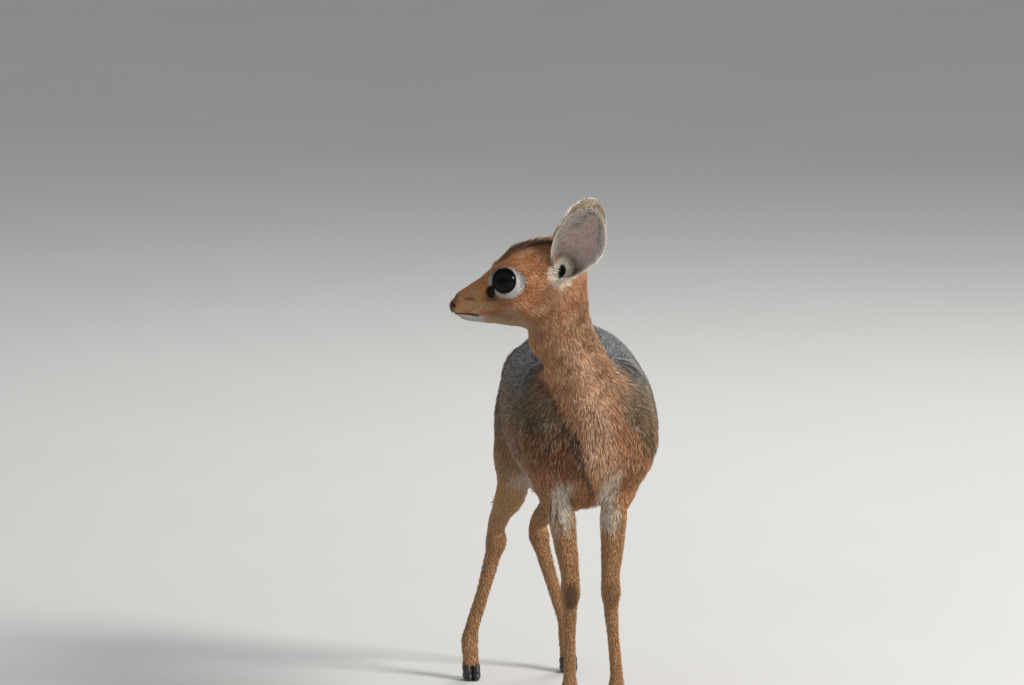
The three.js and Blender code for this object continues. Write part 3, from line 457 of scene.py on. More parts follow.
def oval(f, s, h, middle, sizes):
    """A field of an oval in the head's own directions: forward, aside and up."""
    far = ((f - middle[0]) / sizes[0]) ** 2 + ((s - middle[1]) / sizes[1]) ** 2
    far = far + ((h - middle[2]) / sizes[2]) ** 2
    return (np.sqrt(far) - 1) * min(sizes)


def mouth_height(forward):
    """How high the line between the lips is, at a place along the muzzle."""
    t = np.clip((forward - MOUTH_CORNER[0]) / (MOUTH_FRONT[0] - MOUTH_CORNER[0]), 0, 1)
    return MOUTH_CORNER[1] + (MOUTH_FRONT[1] - MOUTH_CORNER[1]) * t + MOUTH_CURVE * np.sin(t * math.pi)


def furrow(off, depth, half):
    """How deep a furrow is, at a distance off its middle line."""
    return np.maximum(depth * (1 - (off / half) ** 2), 0)


def nostril_oval(f, a, h):
    return oval(f, a, h - (f - NOSTRIL[0]) * NOSTRIL_SLOPE, NOSTRIL, NOSTRIL_SIZE)


def gland_oval(f, a, h):
    return oval(f + h * GLAND_SLOPE, a, h, GLAND, GLAND_SIZE)


def ear_frame(side):
    """The root of an ear, and the ways along it, out of its cup, and across it."""
    root = in_head(*EAR_ROOT, side)
    axis = unit(UP * 0.88 - FORWARD * 0.42 + LEFT * side * 0.34)
    opens = LEFT * side + FORWARD * 0.42
    opens = unit(opens - axis * (opens @ axis))
    return root, axis, opens, np.cross(axis, opens)


def ear_hole(places, side):
    """A field of the oval hole at the root of an ear."""
    _, axis, _, _ = ear_frame(side)
    out = places - in_head(*EAR_HOLE, side)
    along = out @ axis
    across = np.sqrt(np.maximum((out * out).sum(1) - along**2, 0))
    tall, wide = EAR_HOLE_SIZE
    return (np.sqrt((along / tall) ** 2 + (across / wide) ** 2) - 1) * wide


def head_details(places, distance):
    forward, left, up = head_place(places)
    near = (forward > -75) & (np.abs(left) < 42) & (np.abs(up) < 60)
    spots = places[near]
    f, a, h = forward[near], np.abs(left[near]), up[near]
    d = distance[near]
    for side in EYES:
        ahead, beside = eye_view(spots, side)
        lid = np.hypot(ahead - LID_EDGE[0], beside - LID_EDGE[1]) - LID_THICKNESS
        d = blended_min(d, lid, 1.6)
        length = np.hypot(ahead, beside)
        opening = (np.arctan2(beside, ahead) - LID_OPENING) * length
        d = carve(d, np.maximum(opening, EYE_RADIUS - SOCKET_DEPTH - length), 0.5)
        d = carve(d, ear_hole(spots, side), 2)
    d = carve(d, nostril_oval(f, a, h), 1.2)
    d = carve(d, gland_oval(f, a, h), 1.5)
    groove = furrow(h - mouth_height(f), **LIP_GROOVE) * ramp(f, MOUTH_CORNER[0], MOUTH_CORNER[0] + 3)
    fold = furrow(h - FOLD_HEIGHT + (38 - f) * 0.2, **MUZZLE_FOLD)
    fold = fold * ramp(f, *FOLD_START) * (1 - ramp(f, *FOLD_END))
    distance = distance.copy()
    distance[near] = d + groove + fold
    return distance


FOOT_SLOPE = 0.34
FOOT_REACH = 30
CORONET = 14.0


def below_coronet(places, overlap):
    """Above zero where a place is lower than the band at the top of the hooves."""
    height = np.full(len(places), -FAR)
    for leg in LEGS.values():
        x, y = leg["foot"]
        near = np.hypot(places[:, 0] - x, places[:, 1] - y) < FOOT_REACH
        plane = CORONET - overlap - (places[:, 1] - y) * FOOT_SLOPE - places[:, 2]
        height = np.where(near, plane, height)
    return height


SKIN_OVER_HOOF = 1.5
DEEPEST, HIGHEST = -9, 4
LOW_DOWN = 40


def skin_distance(places):
    distance = limbs_distance(BODY, places)
    close = (distance > DEEPEST) & (distance < HIGHEST)
    distance[~close] += 3
    share, _, _ = survey(places[close])
    distance[close] += coat_depth(places[close], share)
    distance = head_details(places, distance)
    low_down = places[:, 2] < LOW_DOWN
    cut = below_coronet(places[low_down], SKIN_OVER_HOOF)
    distance[low_down] = np.maximum(distance[low_down], cut)
    return distance


# %% [markdown]
# ## From field to facets
# The grid is coarse first: only where the coarse grid says that the surface is near is the fine grid worked
# out. Corners then slide down the slope of the field until they lie on it.

# %% Grid, net and settling
COARSE = 4


def net_grid(distance, low, high, cell):
    """Field values on a fine grid, worked out only where a coarse grid says the surface is near."""
    count = [int(math.ceil((b - a) / (cell * COARSE))) + 1 for a, b in zip(low, high)]
    axes = [a + np.arange(n) * cell * COARSE for a, n in zip(low, count)]
    rough = distance(np.stack(np.meshgrid(*axes, indexing="ij"), -1).reshape(-1, 3)).reshape(count)
    values = rough.repeat(COARSE, 0).repeat(COARSE, 1).repeat(COARSE, 2)
    near = np.abs(values) < cell * COARSE * 1.2
    origin = np.array(low) - cell * (COARSE - 1) / 2
    values[near] = distance(origin + np.argwhere(near) * cell)
    return values, origin


def surface_net(values, origin, cell):
    """One corner in each crossed cell and one four-sided face on each crossed edge."""
    inside = values < 0
    shape = np.array(values.shape)
    strides = np.array([shape[1] * shape[2], shape[2], 1])
    flat = int(shape.prod())
    total = np.zeros((3, flat))
    count = np.zeros(flat)
    rings = []
    for axis in range(3):
        lower = [slice(None)] * 3
        upper = [slice(None)] * 3
        lower[axis] = slice(0, -1)
        upper[axis] = slice(1, None)
        crossed = np.argwhere(inside[tuple(lower)] != inside[tuple(upper)])
        a = values[tuple(crossed.T)]
        ahead = crossed.copy()
        ahead[:, axis] += 1
        point = crossed.astype(float)
        point[:, axis] += a / (a - values[tuple(ahead.T)])
        one, two = strides[(axis + 1) % 3], strides[(axis + 2) % 3]
        base = crossed @ strides
        ring = np.stack([base - one - two, base - two, base, base - one], 1)
        for cell_of in ring.T:
            for k in range(3):
                total[k] += np.bincount(cell_of, point[:, k], flat)
            count += np.bincount(cell_of, minlength=flat)
        outward = inside[tuple(crossed.T)]
        rings.append(np.where(outward[:, None], ring, ring[:, ::-1]))
    used = np.flatnonzero(count)
    corners = (total[:, used] / count[used]).T * cell + origin
    number = np.full(flat, -1)
    number[used] = np.arange(len(used))
    return corners, number[np.concatenate(rings)]


def settle(distance, corners, rounds=2, reach=0.15, limit=1.0):
    """Moves corners along the slope of the field until they lie on its surface."""
    at = corners.copy()
    for _ in range(rounds):
        here = distance(at)
        slope = np.stack([distance(at + reach * axis) - here for axis in np.eye(3)], 1) / reach
        steep = np.maximum((slope**2).sum(1), 0.3)
        at -= np.clip(here / steep, -limit, limit)[:, None] * slope
    return at


def halves(corners, rings):
    """Two triangles of each four-sided face, split along its shorter diagonal."""
    a, b, c, d = (corners[rings[:, k]] for k in range(4))
    first = (np.linalg.norm(a - c, axis=1) <= np.linalg.norm(b - d, axis=1))[:, None]
    one = np.where(first, rings[:, [0, 1, 2]], rings[:, [0, 1, 3]])
    two = np.where(first, rings[:, [0, 2, 3]], rings[:, [1, 2, 3]])
    return np.concatenate([one, two])


def facet(distance, low, high, cell):
    """A closed triangle mesh of the surface of a field."""
    values, origin = net_grid(distance, low, high, cell)
    corners, rings = surface_net(values, origin, cell)
    corners = settle(distance, corners, limit=cell * 0.36)
    return corners, halves(corners, rings)


def corner_normals(corners, triangles):
    """The normal at each corner, from the triangles round it."""
    a, b, c = (corners[triangles[:, k]] for k in range(3))
    out = np.cross(b - a, c - a)
    total = [sum(np.bincount(t, out[:, k], len(corners)) for t in triangles.T) for k in range(3)]
    return unit(np.stack(total, 1))


# %% [markdown]
# The head has more detail than the rest, so its triangles are cut into four, and those round the eyes and at
# the end of the muzzle once more. A neighbour of a cut triangle is cut too, so that no edge is left open.


# %% Finer triangles where the skin has detail
def refine(corners, triangles, flagged):
    """Cuts each flagged triangle into four, and its neighbours into two or three."""
    ahead = np.roll(triangles, -1, 1)
    key = np.minimum(triangles, ahead) * len(corners) + np.maximum(triangles, ahead)
    edges, number = np.unique(key, return_inverse=True)
    number = number.reshape(key.shape)
    cut = np.zeros(len(edges), bool)
    cut[number[flagged]] = True
    middle = np.full(len(edges), -1)
    middle[cut] = len(corners) + np.arange(cut.sum())
    added = (corners[edges[cut] // len(corners)] + corners[edges[cut] % len(corners)]) / 2
    m = middle[number]
    count = (m >= 0).sum(1)
    t, q = triangles[count == 3].T, m[count == 3].T
    parts = [triangles[count == 0], np.stack([t[0], q[0], q[2]], 1), np.stack([q[0], t[1], q[1]], 1)]
    parts += [np.stack([q[2], q[1], t[2]], 1), np.stack(q, 1)]
    for turn in range(3):
        turned, cuts = np.roll(triangles, -turn, 1), np.roll(m, -turn, 1)
        single = (count == 1) & (cuts[:, 0] >= 0)
        t, q = turned[single].T, cuts[single].T
        parts += [np.stack([t[0], q[0], t[2]], 1), np.stack([q[0], t[1], t[2]], 1)]
        double = (count == 2) & (cuts[:, 2] < 0)
        t, q = turned[double].T, cuts[double].T
        parts += [np.stack([q[0], t[1], q[1]], 1), np.stack([t[0], q[0], q[1]], 1)]
        parts += [np.stack([t[0], q[1], t[2]], 1)]
    return np.concatenate([corners, added]), np.concatenate(parts)


def refine_where(corners, triangles, wanted):
    """One round of refining where a test of the triangles' middles asks for it, settled on the skin."""
    before = len(corners)
    corners, triangles = refine(corners, triangles, wanted(corners[triangles].mean(1)))
    corners[before:] = settle(skin_distance, corners[before:])
    return corners, triangles


def on_head(places):
    forward, _, up = head_place(places)
    return (forward > -66) & (up > -40)


def on_features(places):
    """Round the eyes and over the end of the muzzle, where lids, lips and nostrils are."""
    forward, _, _ = head_place(places)
    eyes = [np.linalg.norm(places - centre, axis=1) < 21 for centre in EYES.values()]
    return eyes[0] | eyes[1] | (forward > 22)


SKIN_CELL = 2.8
low = np.min([limb.low for limb in BODY], 0)
high = np.max([limb.high for limb in BODY], 0)
low[2] = 4.0
skin_at, skin_faces = facet(skin_distance, low, high, SKIN_CELL)
print("the skin has", len(skin_faces), "triangles")
skin_at, skin_faces = refine_where(skin_at, skin_faces, on_head)
skin_at, skin_faces = refine_where(skin_at, skin_faces, on_features)
skin_out = corner_normals(skin_at, skin_faces)
print("and", len(skin_faces), "with the head made finer")

# %% [markdown]
# ## The ears
# An ear is a thin leaf of skin, rolled into a tube at its root and opening out into a cup. Two grids of
# corners, outside and inside, are closed round their rims.

# %% Ears
EAR_LENGTH = 85.0
EAR_WIDTH = 50.0
EAR_WALL = 1.5
EAR_RIM = 0.5
EAR_COAT = 0.3
EAR_WIDEST = 0.55
EAR_ROLLED, EAR_OPENED = 2.9, 0.75
EAR_ROWS, EAR_COLUMNS = 48, 40


def ear_row(t):
    """Half width of the leaf, how far it is rolled, and the radius that it is rolled to."""
    widening = ramp(t, 0.08, EAR_WIDEST)
    tapering = (1 - (np.maximum(t - EAR_WIDEST, 0) / (1.01 - EAR_WIDEST)) ** 2.2) ** 0.6
    half = EAR_WIDTH / 2 * (0.36 + 0.64 * widening) * tapering
    opened = np.clip((t - 0.14) / 0.44, 0, 1)
    roll = EAR_ROLLED + (EAR_OPENED - EAR_ROLLED) * opened**0.7
    return half, roll, half / np.sin(np.minimum(roll, math.pi / 2))


def ear_place(side, t, share, depth):
    """A place on the leaf: t along it, share from rim to rim, and depth in from its outside."""
    root, axis, opens, sideways = ear_frame(side)
    half, roll, radius = ear_row(t)
    around = share * roll
    r = np.maximum(radius - depth, 0.3)
    middle = (radius - half * 0.5) * ramp(t, 0, 0.35)
    ripple = 0.5 * np.sin(share * 17) * ramp(t, 0.3, 0.6) * (1 - ramp(t, 0.75, 1))
    out = middle - np.cos(around) * r + ripple
    at = root + t[:, None] * EAR_LENGTH * axis
    return at + (np.sin(around) * r)[:, None] * sideways + out[:, None] * opens


def grid_rings(rows, columns):
    """Four-sided faces of a grid of corners, row after row."""
    row, column = np.meshgrid(np.arange(rows), np.arange(columns), indexing="ij")
    a = (row * (columns + 1) + column).ravel()
    return np.stack([a, a + 1, a + columns + 2, a + columns + 1], 1)


def signed_volume(at, faces):
    """The volume of a closed mesh, above zero where its faces point out."""
    a, b, c = (at[faces[:, k]] for k in range(3))
    return (a * np.cross(b, c)).sum() / 6


def outwards(at, faces):
    """The triangles of a closed mesh, turned to face out."""
    return faces if signed_volume(at - at.mean(0), faces) > 0 else faces[:, ::-1]


def make_ear(side):
    """Corners, triangles, and for each corner its wall (0 outside, 1 inside), place along and across."""
    grid = np.meshgrid(np.linspace(0, 1, EAR_ROWS + 1), np.linspace(-1, 1, EAR_COLUMNS + 1), indexing="ij")
    t, share = (values.ravel() for values in grid)
    rim = np.minimum(1, np.minimum((1 - np.abs(share)) * 8, (1 - t) * 12))
    outside = ear_place(side, t, share, EAR_COAT)
    inside = ear_place(side, t, share, EAR_COAT + EAR_RIM + (EAR_WALL - EAR_RIM) * rim)
    at = np.concatenate([outside, inside])
    layer = len(t)
    ring = grid_rings(EAR_ROWS, EAR_COLUMNS)
    across = EAR_COLUMNS + 1
    left = np.arange(EAR_ROWS) * across
    bottom = np.arange(EAR_COLUMNS)
    rings = [ring, ring[:, ::-1] + layer]
    right, top = left + EAR_COLUMNS, bottom + EAR_ROWS * across
    for line, step in ((left, -across), (right, across), (bottom, 1), (top, -1)):
        line = line if step > 0 else line - step
        rings.append(np.stack([line + step, line, line + layer, line + step + layer], 1))
    faces = outwards(at, halves(at, np.concatenate(rings)))
    return at, faces, np.repeat([0.0, 1.0], layer), np.tile(t, 2), np.tile(share, 2)


ears = {side: make_ear(side) for side in (1, -1)}
print("each ear has", len(ears[1][1]), "triangles and", round(signed_volume(*ears[1][:2])), "mm3 of skin")

# %% [markdown]
# ## Colours
# Most colours are those of the living animal, as the eye reads them, and all are made linear for the shader.
# A painter lays them over one another by soft masks: grizzled blue-grey on the back, olive brown on the
# flanks, rufous on head, neck and chest, pale underneath, and a white ring round each eye. Other masks lay
# painted shade: on the shoulder beside the breast, in folds of neck, muzzle and cheek, in the holes of nostrils
# and ears, and on the skin under the coat.


# %% Named colours
def tone(red, green, blue):
    """A colour as the eye reads it, 0 to 255, made linear."""
    c = np.array([red, green, blue]) / 255
    return np.where(c <= 0.04045, c / 12.92, ((c + 0.055) / 1.055) ** 2.4)


BACK_GREY = tone(118, 121, 126)
FLANK_HIGH = tone(126, 110, 92)
FLANK = tone(150, 119, 87)
FLANK_LOW = tone(178, 130, 88)
SHADED_OLIVE = tone(104, 88, 70)
RUFOUS_SHADED = tone(146, 92, 60)
CHEST = tone(210, 150, 108)
NECK_PALE = tone(236, 194, 160)
OCHRE = tone(200, 144, 98)
SHADE_BROWN = tone(92, 64, 48)
BELLY = tone(210, 202, 190)
HAUNCH = tone(128, 116, 100)
LEG = tone(190, 150, 110)
LEG_FRONT = tone(190, 143, 101)
LEG_INSIDE = tone(200, 178, 150)
NECK_RUFOUS = tone(206, 156, 118)
RUFOUS = tone(184, 126, 84)
RUFOUS_PALE = tone(212, 170, 134)
RUFOUS_DARK = tone(150, 100, 68)
MUZZLE_TOP = tone(200, 144, 92)
LIP_BAND = tone(190, 162, 126)
CHIN = tone(206, 198, 190)
THROAT = tone(196, 168, 136)
CREAM = tone(238, 226, 208)
WHITE = tone(204, 199, 193)
MARK_AND_SHADE_BROWN = tone(98, 74, 58)
DARK = tone(52, 38, 32)
BLACK = tone(22, 18, 18)
NOSE = tone(92, 62, 50)
CREST_DARK = tone(78, 62, 48)
TICK_DARK = tone(48, 44, 42)
TICK_PALE = tone(210, 200, 180)
EAR_OUTSIDE = tone(150, 134, 112)
EAR_INSIDE = tone(206, 178, 164)
TAIL_TOP = tone(128, 116, 98)


def mottle(places, wave):
    """A soft, uneven pattern from -1 to 1, with a wave length in millimetres."""
    total = np.zeros(len(places))
    for k in range(6):
        turn = np.array([math.sin(2.4 * k + 1), math.cos(1.7 * k), math.sin(3.1 * k + 2)])
        total += np.sin(places @ turn * (2 * math.pi / wave) * (0.8 + 0.13 * k) + 2.1 * k)
    return total / 3


class Paint:
    """Colours of many places, laid over one another by masks."""

    def __init__(self, first, count):
        self.colour = np.tile(first, (count, 1))

    def lay(self, colour, amount):
        amount = np.clip(amount, 0, 1)[:, None]
        self.colour = self.colour * (1 - amount) + colour * amount


# %% Markings of body and legs
# The edges of the breast on her right and left, its pale stripe and the nape, each as x at some heights.
BIB_HEIGHTS_RIGHT, BIB_RIGHT = [228, 257, 282, 305, 330, 361], [1, -12, -16, -29, -42, -54]
BIB_HEIGHTS_LEFT, BIB_LEFT = [235, 262, 285, 312, 337, 372], [72, 56, 38, 22, 12, 0]
STRIPE_HEIGHTS, STRIPE = [236, 270, 338, 362, 400], [4, 2, -5, -18, -33]
NAPE_HEIGHTS, NAPE = [330, 362, 400, 430], [10, -8, -22, -20]
# Heights, then places from front to back, between which one colour fades into the next.
FLANK_FOOT, FLANK_TOP, BACK_TOP, SHOULDER_TOP = (236, 286), (284, 322), (306, 348), (268, 306)
BREAST_FOOT, LEG_TOP, BELLY_TOP, GROIN_TOP = (232, 262), (196, 222), (230, 262), (236, 272)
BREAST_END, BACK_START, GROIN_START = (14, 62), (5, 55), (212, 246)
# Middle, half width and top of the white hair on each foreleg, and middle and strength of each knee's mark.
LEG_TUFTS = ((-28, 11, 250), (17, 13, 262))
KNEES = ((-20, 0.85), (19, 0.35))
KNEE_HEIGHT = 129


def paint_body(paint, places, out, share):
    x, y, z = places.T
    blotch, patchy = mottle(places, 70), mottle(places, 24)
    streak = mottle(places * [1, 0.5, 0.09], 5)
    legs = share["foreleg"] + share["hindleg"]
    # Flanks and back.
    paint.lay(FLANK_LOW, 1 - ramp(z + 9 * blotch, *FLANK_FOOT))
    paint.lay(FLANK_HIGH, ramp(z + 8 * blotch, *FLANK_TOP))
    paint.lay(BACK_GREY, ramp(z + 7 * blotch + out[:, 2] * 14, *BACK_TOP) * ramp(y, *BACK_START))
    # The breast, and the shaded shoulder beside it.
    right = np.interp(z, BIB_HEIGHTS_RIGHT, BIB_RIGHT)
    left = np.interp(z, BIB_HEIGHTS_LEFT, BIB_LEFT)
    front = 1 - ramp(y, *BREAST_END)
    beside = front * (1 - ramp(x + 2 * patchy, right - 6, right + 2)) * (1 - share["neck"])
    high = ramp(z + 8 * patchy, *SHOULDER_TOP)
    paint.lay(SHADED_OLIVE, beside * high * 0.9)
    paint.lay(RUFOUS_SHADED, beside * (1 - high) * 0.95)
    bib = ramp(x, right - 3, right + 3) * (1 - ramp(x + 4 * patchy, left - 9, left + 9)) * front
    paint.lay(CHEST, bib)
    paint.lay(OCHRE, (bib + beside) * (1 - ramp(z + 6 * patchy, *BREAST_FOOT)) * 0.7)
    # The neck, with its pale stripe, its nape, its streaks, and painted shade in the fold beside the breast.
    paint.lay(NECK_RUFOUS, share["neck"])
    stripe = np.interp(z, STRIPE_HEIGHTS, STRIPE)
    pale = (1 - ramp(np.abs(x - stripe + 3 * patchy) / 17, 0.4, 1.2)) * front * ramp(z, 238, 262)
    paint.lay(NECK_PALE, pale * (1 - ramp(z, 352, 400)) * 0.75)
    nape = ramp(x - np.interp(z, NAPE_HEIGHTS, NAPE) + 4 * patchy, -6, 8)
    paint.lay(FLANK, share["neck"] * nape * 0.6)
    fur_front = np.clip(share["neck"] + share["chest"] + bib, 0, 1)
    paint.lay(RUFOUS_DARK, fur_front * ramp(streak, 0.25, 1.3) * 0.55)
    paint.lay(NECK_PALE, fur_front * ramp(-streak, 0.4, 1.3) * 0.4 * (1 - beside))
    # Painted shade: a dark line where the neck meets the breast.
    crease_shade = 1 - ramp(np.abs(x - right + 1), 1.5, 5.5)
    paint.lay(SHADE_BROWN, crease_shade * (1 - ramp(y, 4, 40)) * ramp(z, 214, 236) * (1 - ramp(z, 352, 372)) * 0.75)
    # Haunches, belly, groin, insides of the hind legs, and tail.
    paint.lay(HAUNCH, share["thigh"] * 0.85)
    under = ramp(-out[:, 2], 0.3, 0.75) * ramp(y, 25, 70)
    paint.lay(BELLY, under * (1 - ramp(z + 5 * patchy, *BELLY_TOP)))
    groin = ramp(y, *GROIN_START) * (1 - ramp(np.abs(x + 4) + 5 * patchy, 14, 34))
    paint.lay(BELLY, groin * (1 - ramp(z + 8 * patchy, *GROIN_TOP)))
    inward = -out[:, 0] * np.sign(x + 5)
    hind = share["thigh"] + share["hindleg"] * ramp(z, 150, 185)
    paint.lay(BELLY, hind * ramp(inward, 0.25, 0.7) * 0.9)
    paint.lay(TAIL_TOP, share["tail"])
    paint.lay(WHITE, share["tail"] * ramp(-out[:, 1] - out[:, 2] * 0.6, 0.2, 0.7))
    # Legs: brighter in front, paler inside, with dark knees and pasterns and white hair at the elbows.
    paint.lay(LEG, legs * (1 - bib * ramp(z, *LEG_TOP)))
    ahead = ramp(-out[:, 1] + 0.25 * blotch, 0.1, 0.8)
    paint.lay(LEG_FRONT, legs * ahead * 0.8 * (1 - ramp(z, *LEG_TOP)))
    paint.lay(LEG_INSIDE, legs * ramp(out[:, 1] + 0.5 * inward, 0.15, 0.9) * 0.8)
    for knee, strength in KNEES:
        patch = np.hypot((x - knee) / 7, (z - KNEE_HEIGHT) / 17)
        paint.lay(MARK_AND_SHADE_BROWN, legs * strength * (1 - ramp(patch, 0.5, 1.1)) * (out[:, 1] < 0))
    paint.lay(MARK_AND_SHADE_BROWN, share["foreleg"] * (1 - ramp(z, 14, 30)) * 0.55)
    # White hair at the elbows, with painted shade in streaks between its locks.
    for middle, wide, top in LEG_TUFTS:
        inside = 1 - ramp(np.abs(x - middle) / wide + 0.25 * streak, 0.5, 1.15)
        tall = ramp(z, 178, 206) * (1 - ramp(z + 7 * streak, top - 16, top)) * (y < 34)
        paint.lay(CREAM, inside * tall * ramp(streak, -1.1, 0.1))
        paint.lay(SHADE_BROWN, inside * tall * ramp(-streak, 0.5, 1.3) * 0.6)


# %% Markings of the head
# The outer edge of the white ring, by the turn round the eye in degrees.
EYE_RING_TURN = [0, 45, 90, 135, 165, 200, 240, 270, 315, 360]
EYE_RING_OUT = [17, 14.6, 13.8, 13.8, 16.8, 16.4, 15.8, 16.2, 15.8, 17]
# Oval marks on the side of the head: the middle, forward and up, the half sizes, and the soft edge.
MUZZLE_LIGHT = ((31, -11.5), (1, 1), (2.5, 6))
NOSTRIL_SHADE = ((35, -18), (6, 2.4), (0.5, 1.2))
GLAND_SHADE = ((14.5, -17.5), (9, 3.6), (0.5, 1.15))
CHEEK_SHADE = ((-40, -12), (13, 9), (0.5, 1.2))
EAR_FRONT = ((-48, 7), (13, 13), (0, 1))
EAR_BACK = ((-55, 14), (12, 13), (0, 1))
GLAND_BLACK = ((14.8, -10.8), (4.2, 6), (0.85, 1.15))
EYE_CORNER = ((12.6, -5.5), (1.8, 3.6), (0.8, 1.2))
LID_SKIN = (12.0, 12.7)
LID_WET = (11.8, 12.4)


def off_mark(f, h, mark):
    """How far a place is from the middle of an oval mark, as a share of its half size."""
    (forward, up), (long, tall), _ = mark
    return np.hypot((f - forward) / long, (h - up) / tall)


def in_mark(f, h, mark):
    return 1 - ramp(off_mark(f, h, mark), *mark[2])


def nose_slant(f, h):
    """How far forward a place is, measured along the slant of the nose."""
    return f + 0.25 * (h + 26)


def paint_head(paint, places, out, share):
    f, s, h = head_place(places)
    a = np.abs(s)
    face = share["face"]
    blotch, fine = mottle(places, 22), mottle(places, 7)
    # The whole head, then the muzzle and throat.
    paint.lay(RUFOUS, face)
    paint.lay(NECK_RUFOUS, face * (1 - ramp(f, -52, -22)) * 0.8)
    paint.lay(RUFOUS_PALE, (face + share["neck"]) * ramp(blotch, 0.1, 1.2) * 0.6)
    paint.lay(RUFOUS_DARK, (face + share["neck"]) * ramp(-blotch, 0.1, 1.2) * 0.5)
    paint.lay(MUZZLE_TOP, face * ramp(f, 6, 18) * ramp(h + 0.45 * f, -14, -6))
    paint.lay(THROAT, face * ramp(-out[:, 2], 0.25, 0.75) * ramp(-h, 16, 28))
    band = 1 - ramp(np.abs(h + 24 + fine), 2.5, 6)
    paint.lay(LIP_BAND, face * band * ramp(f, 6, 16) * (1 - ramp(f, 38, 46)) * 0.55)
    paint.lay(LIP_BAND, face * in_mark(f, h, MUZZLE_LIGHT) * (a > 5) * 0.5)
    paint.lay(CHIN, face * ramp(mouth_height(f) - h + fine * 0.6, -0.5, 1.2) * ramp(f, 16, 27))
    # Painted shade along the fold of the muzzle and below each gland.
    paint.lay(MARK_AND_SHADE_BROWN, face * in_mark(f, h + 0.6 * fine, NOSTRIL_SHADE) * 0.6)
    paint.lay(MARK_AND_SHADE_BROWN, face * in_mark(f, h + fine, GLAND_SHADE) * 0.7)
    # The crest, painted shade on the cheek, and the pale fur round the hole of each ear, which is painted black
    # as shade.
    crown = (1 - ramp(a + fine, 6, 14)) * (1 - ramp(f, -4, 9)) * ramp(out[:, 2], 0.1, 0.5)
    paint.lay(CREST_DARK, face * crown * 0.7)
    paint.lay(DARK, face * crown * ramp(mottle(places * [0.2, 1, 0.3], 6), 0.1, 0.9) * 0.9)
    paint.lay(FLANK, face * in_mark(f, h, CHEEK_SHADE) * (a > 10) * 0.5)
    root = np.minimum(off_mark(f, h, EAR_FRONT), off_mark(f, h, EAR_BACK))
    paint.lay(CREAM, (1 - ramp(root + 0.1 * fine, 0.75, 1.1)) * ramp(a, 7, 13) * 0.9)
    for side in EYES:
        paint.lay(BLACK, (1 - ramp(ear_hole(places, side), 0.3, 1.8)) * (s * side > 0))
    # The eye: white ring, black gland and corner, and dark bare lids.
    turn = np.degrees(np.arctan2(h, f)) % 360
    ring = np.interp(turn, EYE_RING_TURN, EYE_RING_OUT) + 0.5 * fine
    on_side = ramp(a, 8, 12) * face
    paint.lay(WHITE, on_side * ramp(ring - np.hypot(f, h), -0.8, 0.6))
    for mark in (GLAND_BLACK, EYE_CORNER):
        paint.lay(BLACK, on_side * in_mark(f, h, mark))
    for side in EYES:
        ahead, beside = eye_view(places, side)
        paint.lay(BLACK, (ahead > 3) * (1 - ramp(beside, *LID_SKIN)))
    # Nose, nostrils painted black as shade, and the line of the mouth, which is finer at the front.
    paint.lay(NOSE, face * ramp(nose_slant(f, h) + fine * 0.3, 46, 52) * ramp(h, -35.5, -33))
    paint.lay(BLACK, face * (1 - ramp(nostril_oval(f, a, h), -0.4, 0.7)))
    half = 0.4 + 0.5 * (1 - ramp(f, 30, 42))
    line = 1 - ramp(np.abs(h - mouth_height(f)), half, half + 0.9)
    paint.lay(DARK, face * ramp(f, MOUTH_CORNER[0] - 1, MOUTH_CORNER[0] + 2) * line * 0.92)


def markings(places, out, share):
    paint = Paint(FLANK, len(places))
    paint_body(paint, places, out, share)
    paint_head(paint, places, out, share)
    return paint.colour


def wetness(places, share):
    """1 on the moist nose, inside the nostrils and on the lids' edges, and 0 on dry skin."""
    f, _, h = head_place(places)
    wet = share["face"] * ramp(nose_slant(f, h), 49.5, 51.5) * ramp(h, -34.5, -32.5)
    for side in EYES:
        ahead, beside = eye_view(places, side)
        wet = np.maximum(wet, (ahead > 3) * (1 - ramp(beside, *LID_WET)))
    return wet


def paint_ear(wall, t, share):
    """Colours of an ear: grizzled outside, pale pink inside, pale at the rim and painted shade down in the
    tube.
    """
    paint = Paint(EAR_OUTSIDE, len(t))
    paint.lay(RUFOUS, (1 - wall) * (1 - ramp(t, 0.1, 0.4)))
    paint.lay(CREAM, (1 - wall) * (1 - ramp(t, 0.15, 0.35)) * ramp(np.abs(share), 0.45, 0.75))
    paint.lay(EAR_INSIDE, wall)
    rim = np.maximum(ramp(np.abs(share), 0.86, 0.98), ramp(t, 0.93, 0.99))
    paint.lay(CREAM, rim * ramp(t, 0.2, 0.35) * 0.9)
    # Painted shade deep in the rolled root of the ear.
    paint.lay(DARK, wall * (1 - ramp(t, 0.2, 0.42)))
    return paint.colour


# The skin is darker than the coat, as an undercoat is, and as painted shade in the gaps between the tufts.
SKIN_SHADE = 0.78
skin_share, _, _ = survey(skin_at)
skin_colour = markings(skin_at, skin_out, skin_share) * SKIN_SHADE
skin_wet = wetness(skin_at, skin_share)
print("the skin's mean colour is", skin_colour.mean(0).round(3))

# %% [markdown]
# ## The coat
# Hair lies in small overlapping tufts, so each tuft is one thin, tapered blade of ten triangles, closed and
# rooted in the skin. Its root is drawn at random on the skin, closer together where hair is finer. It
# follows the course of the limbs, runs down over flank and chest, and rises only as far as the coat is deep.

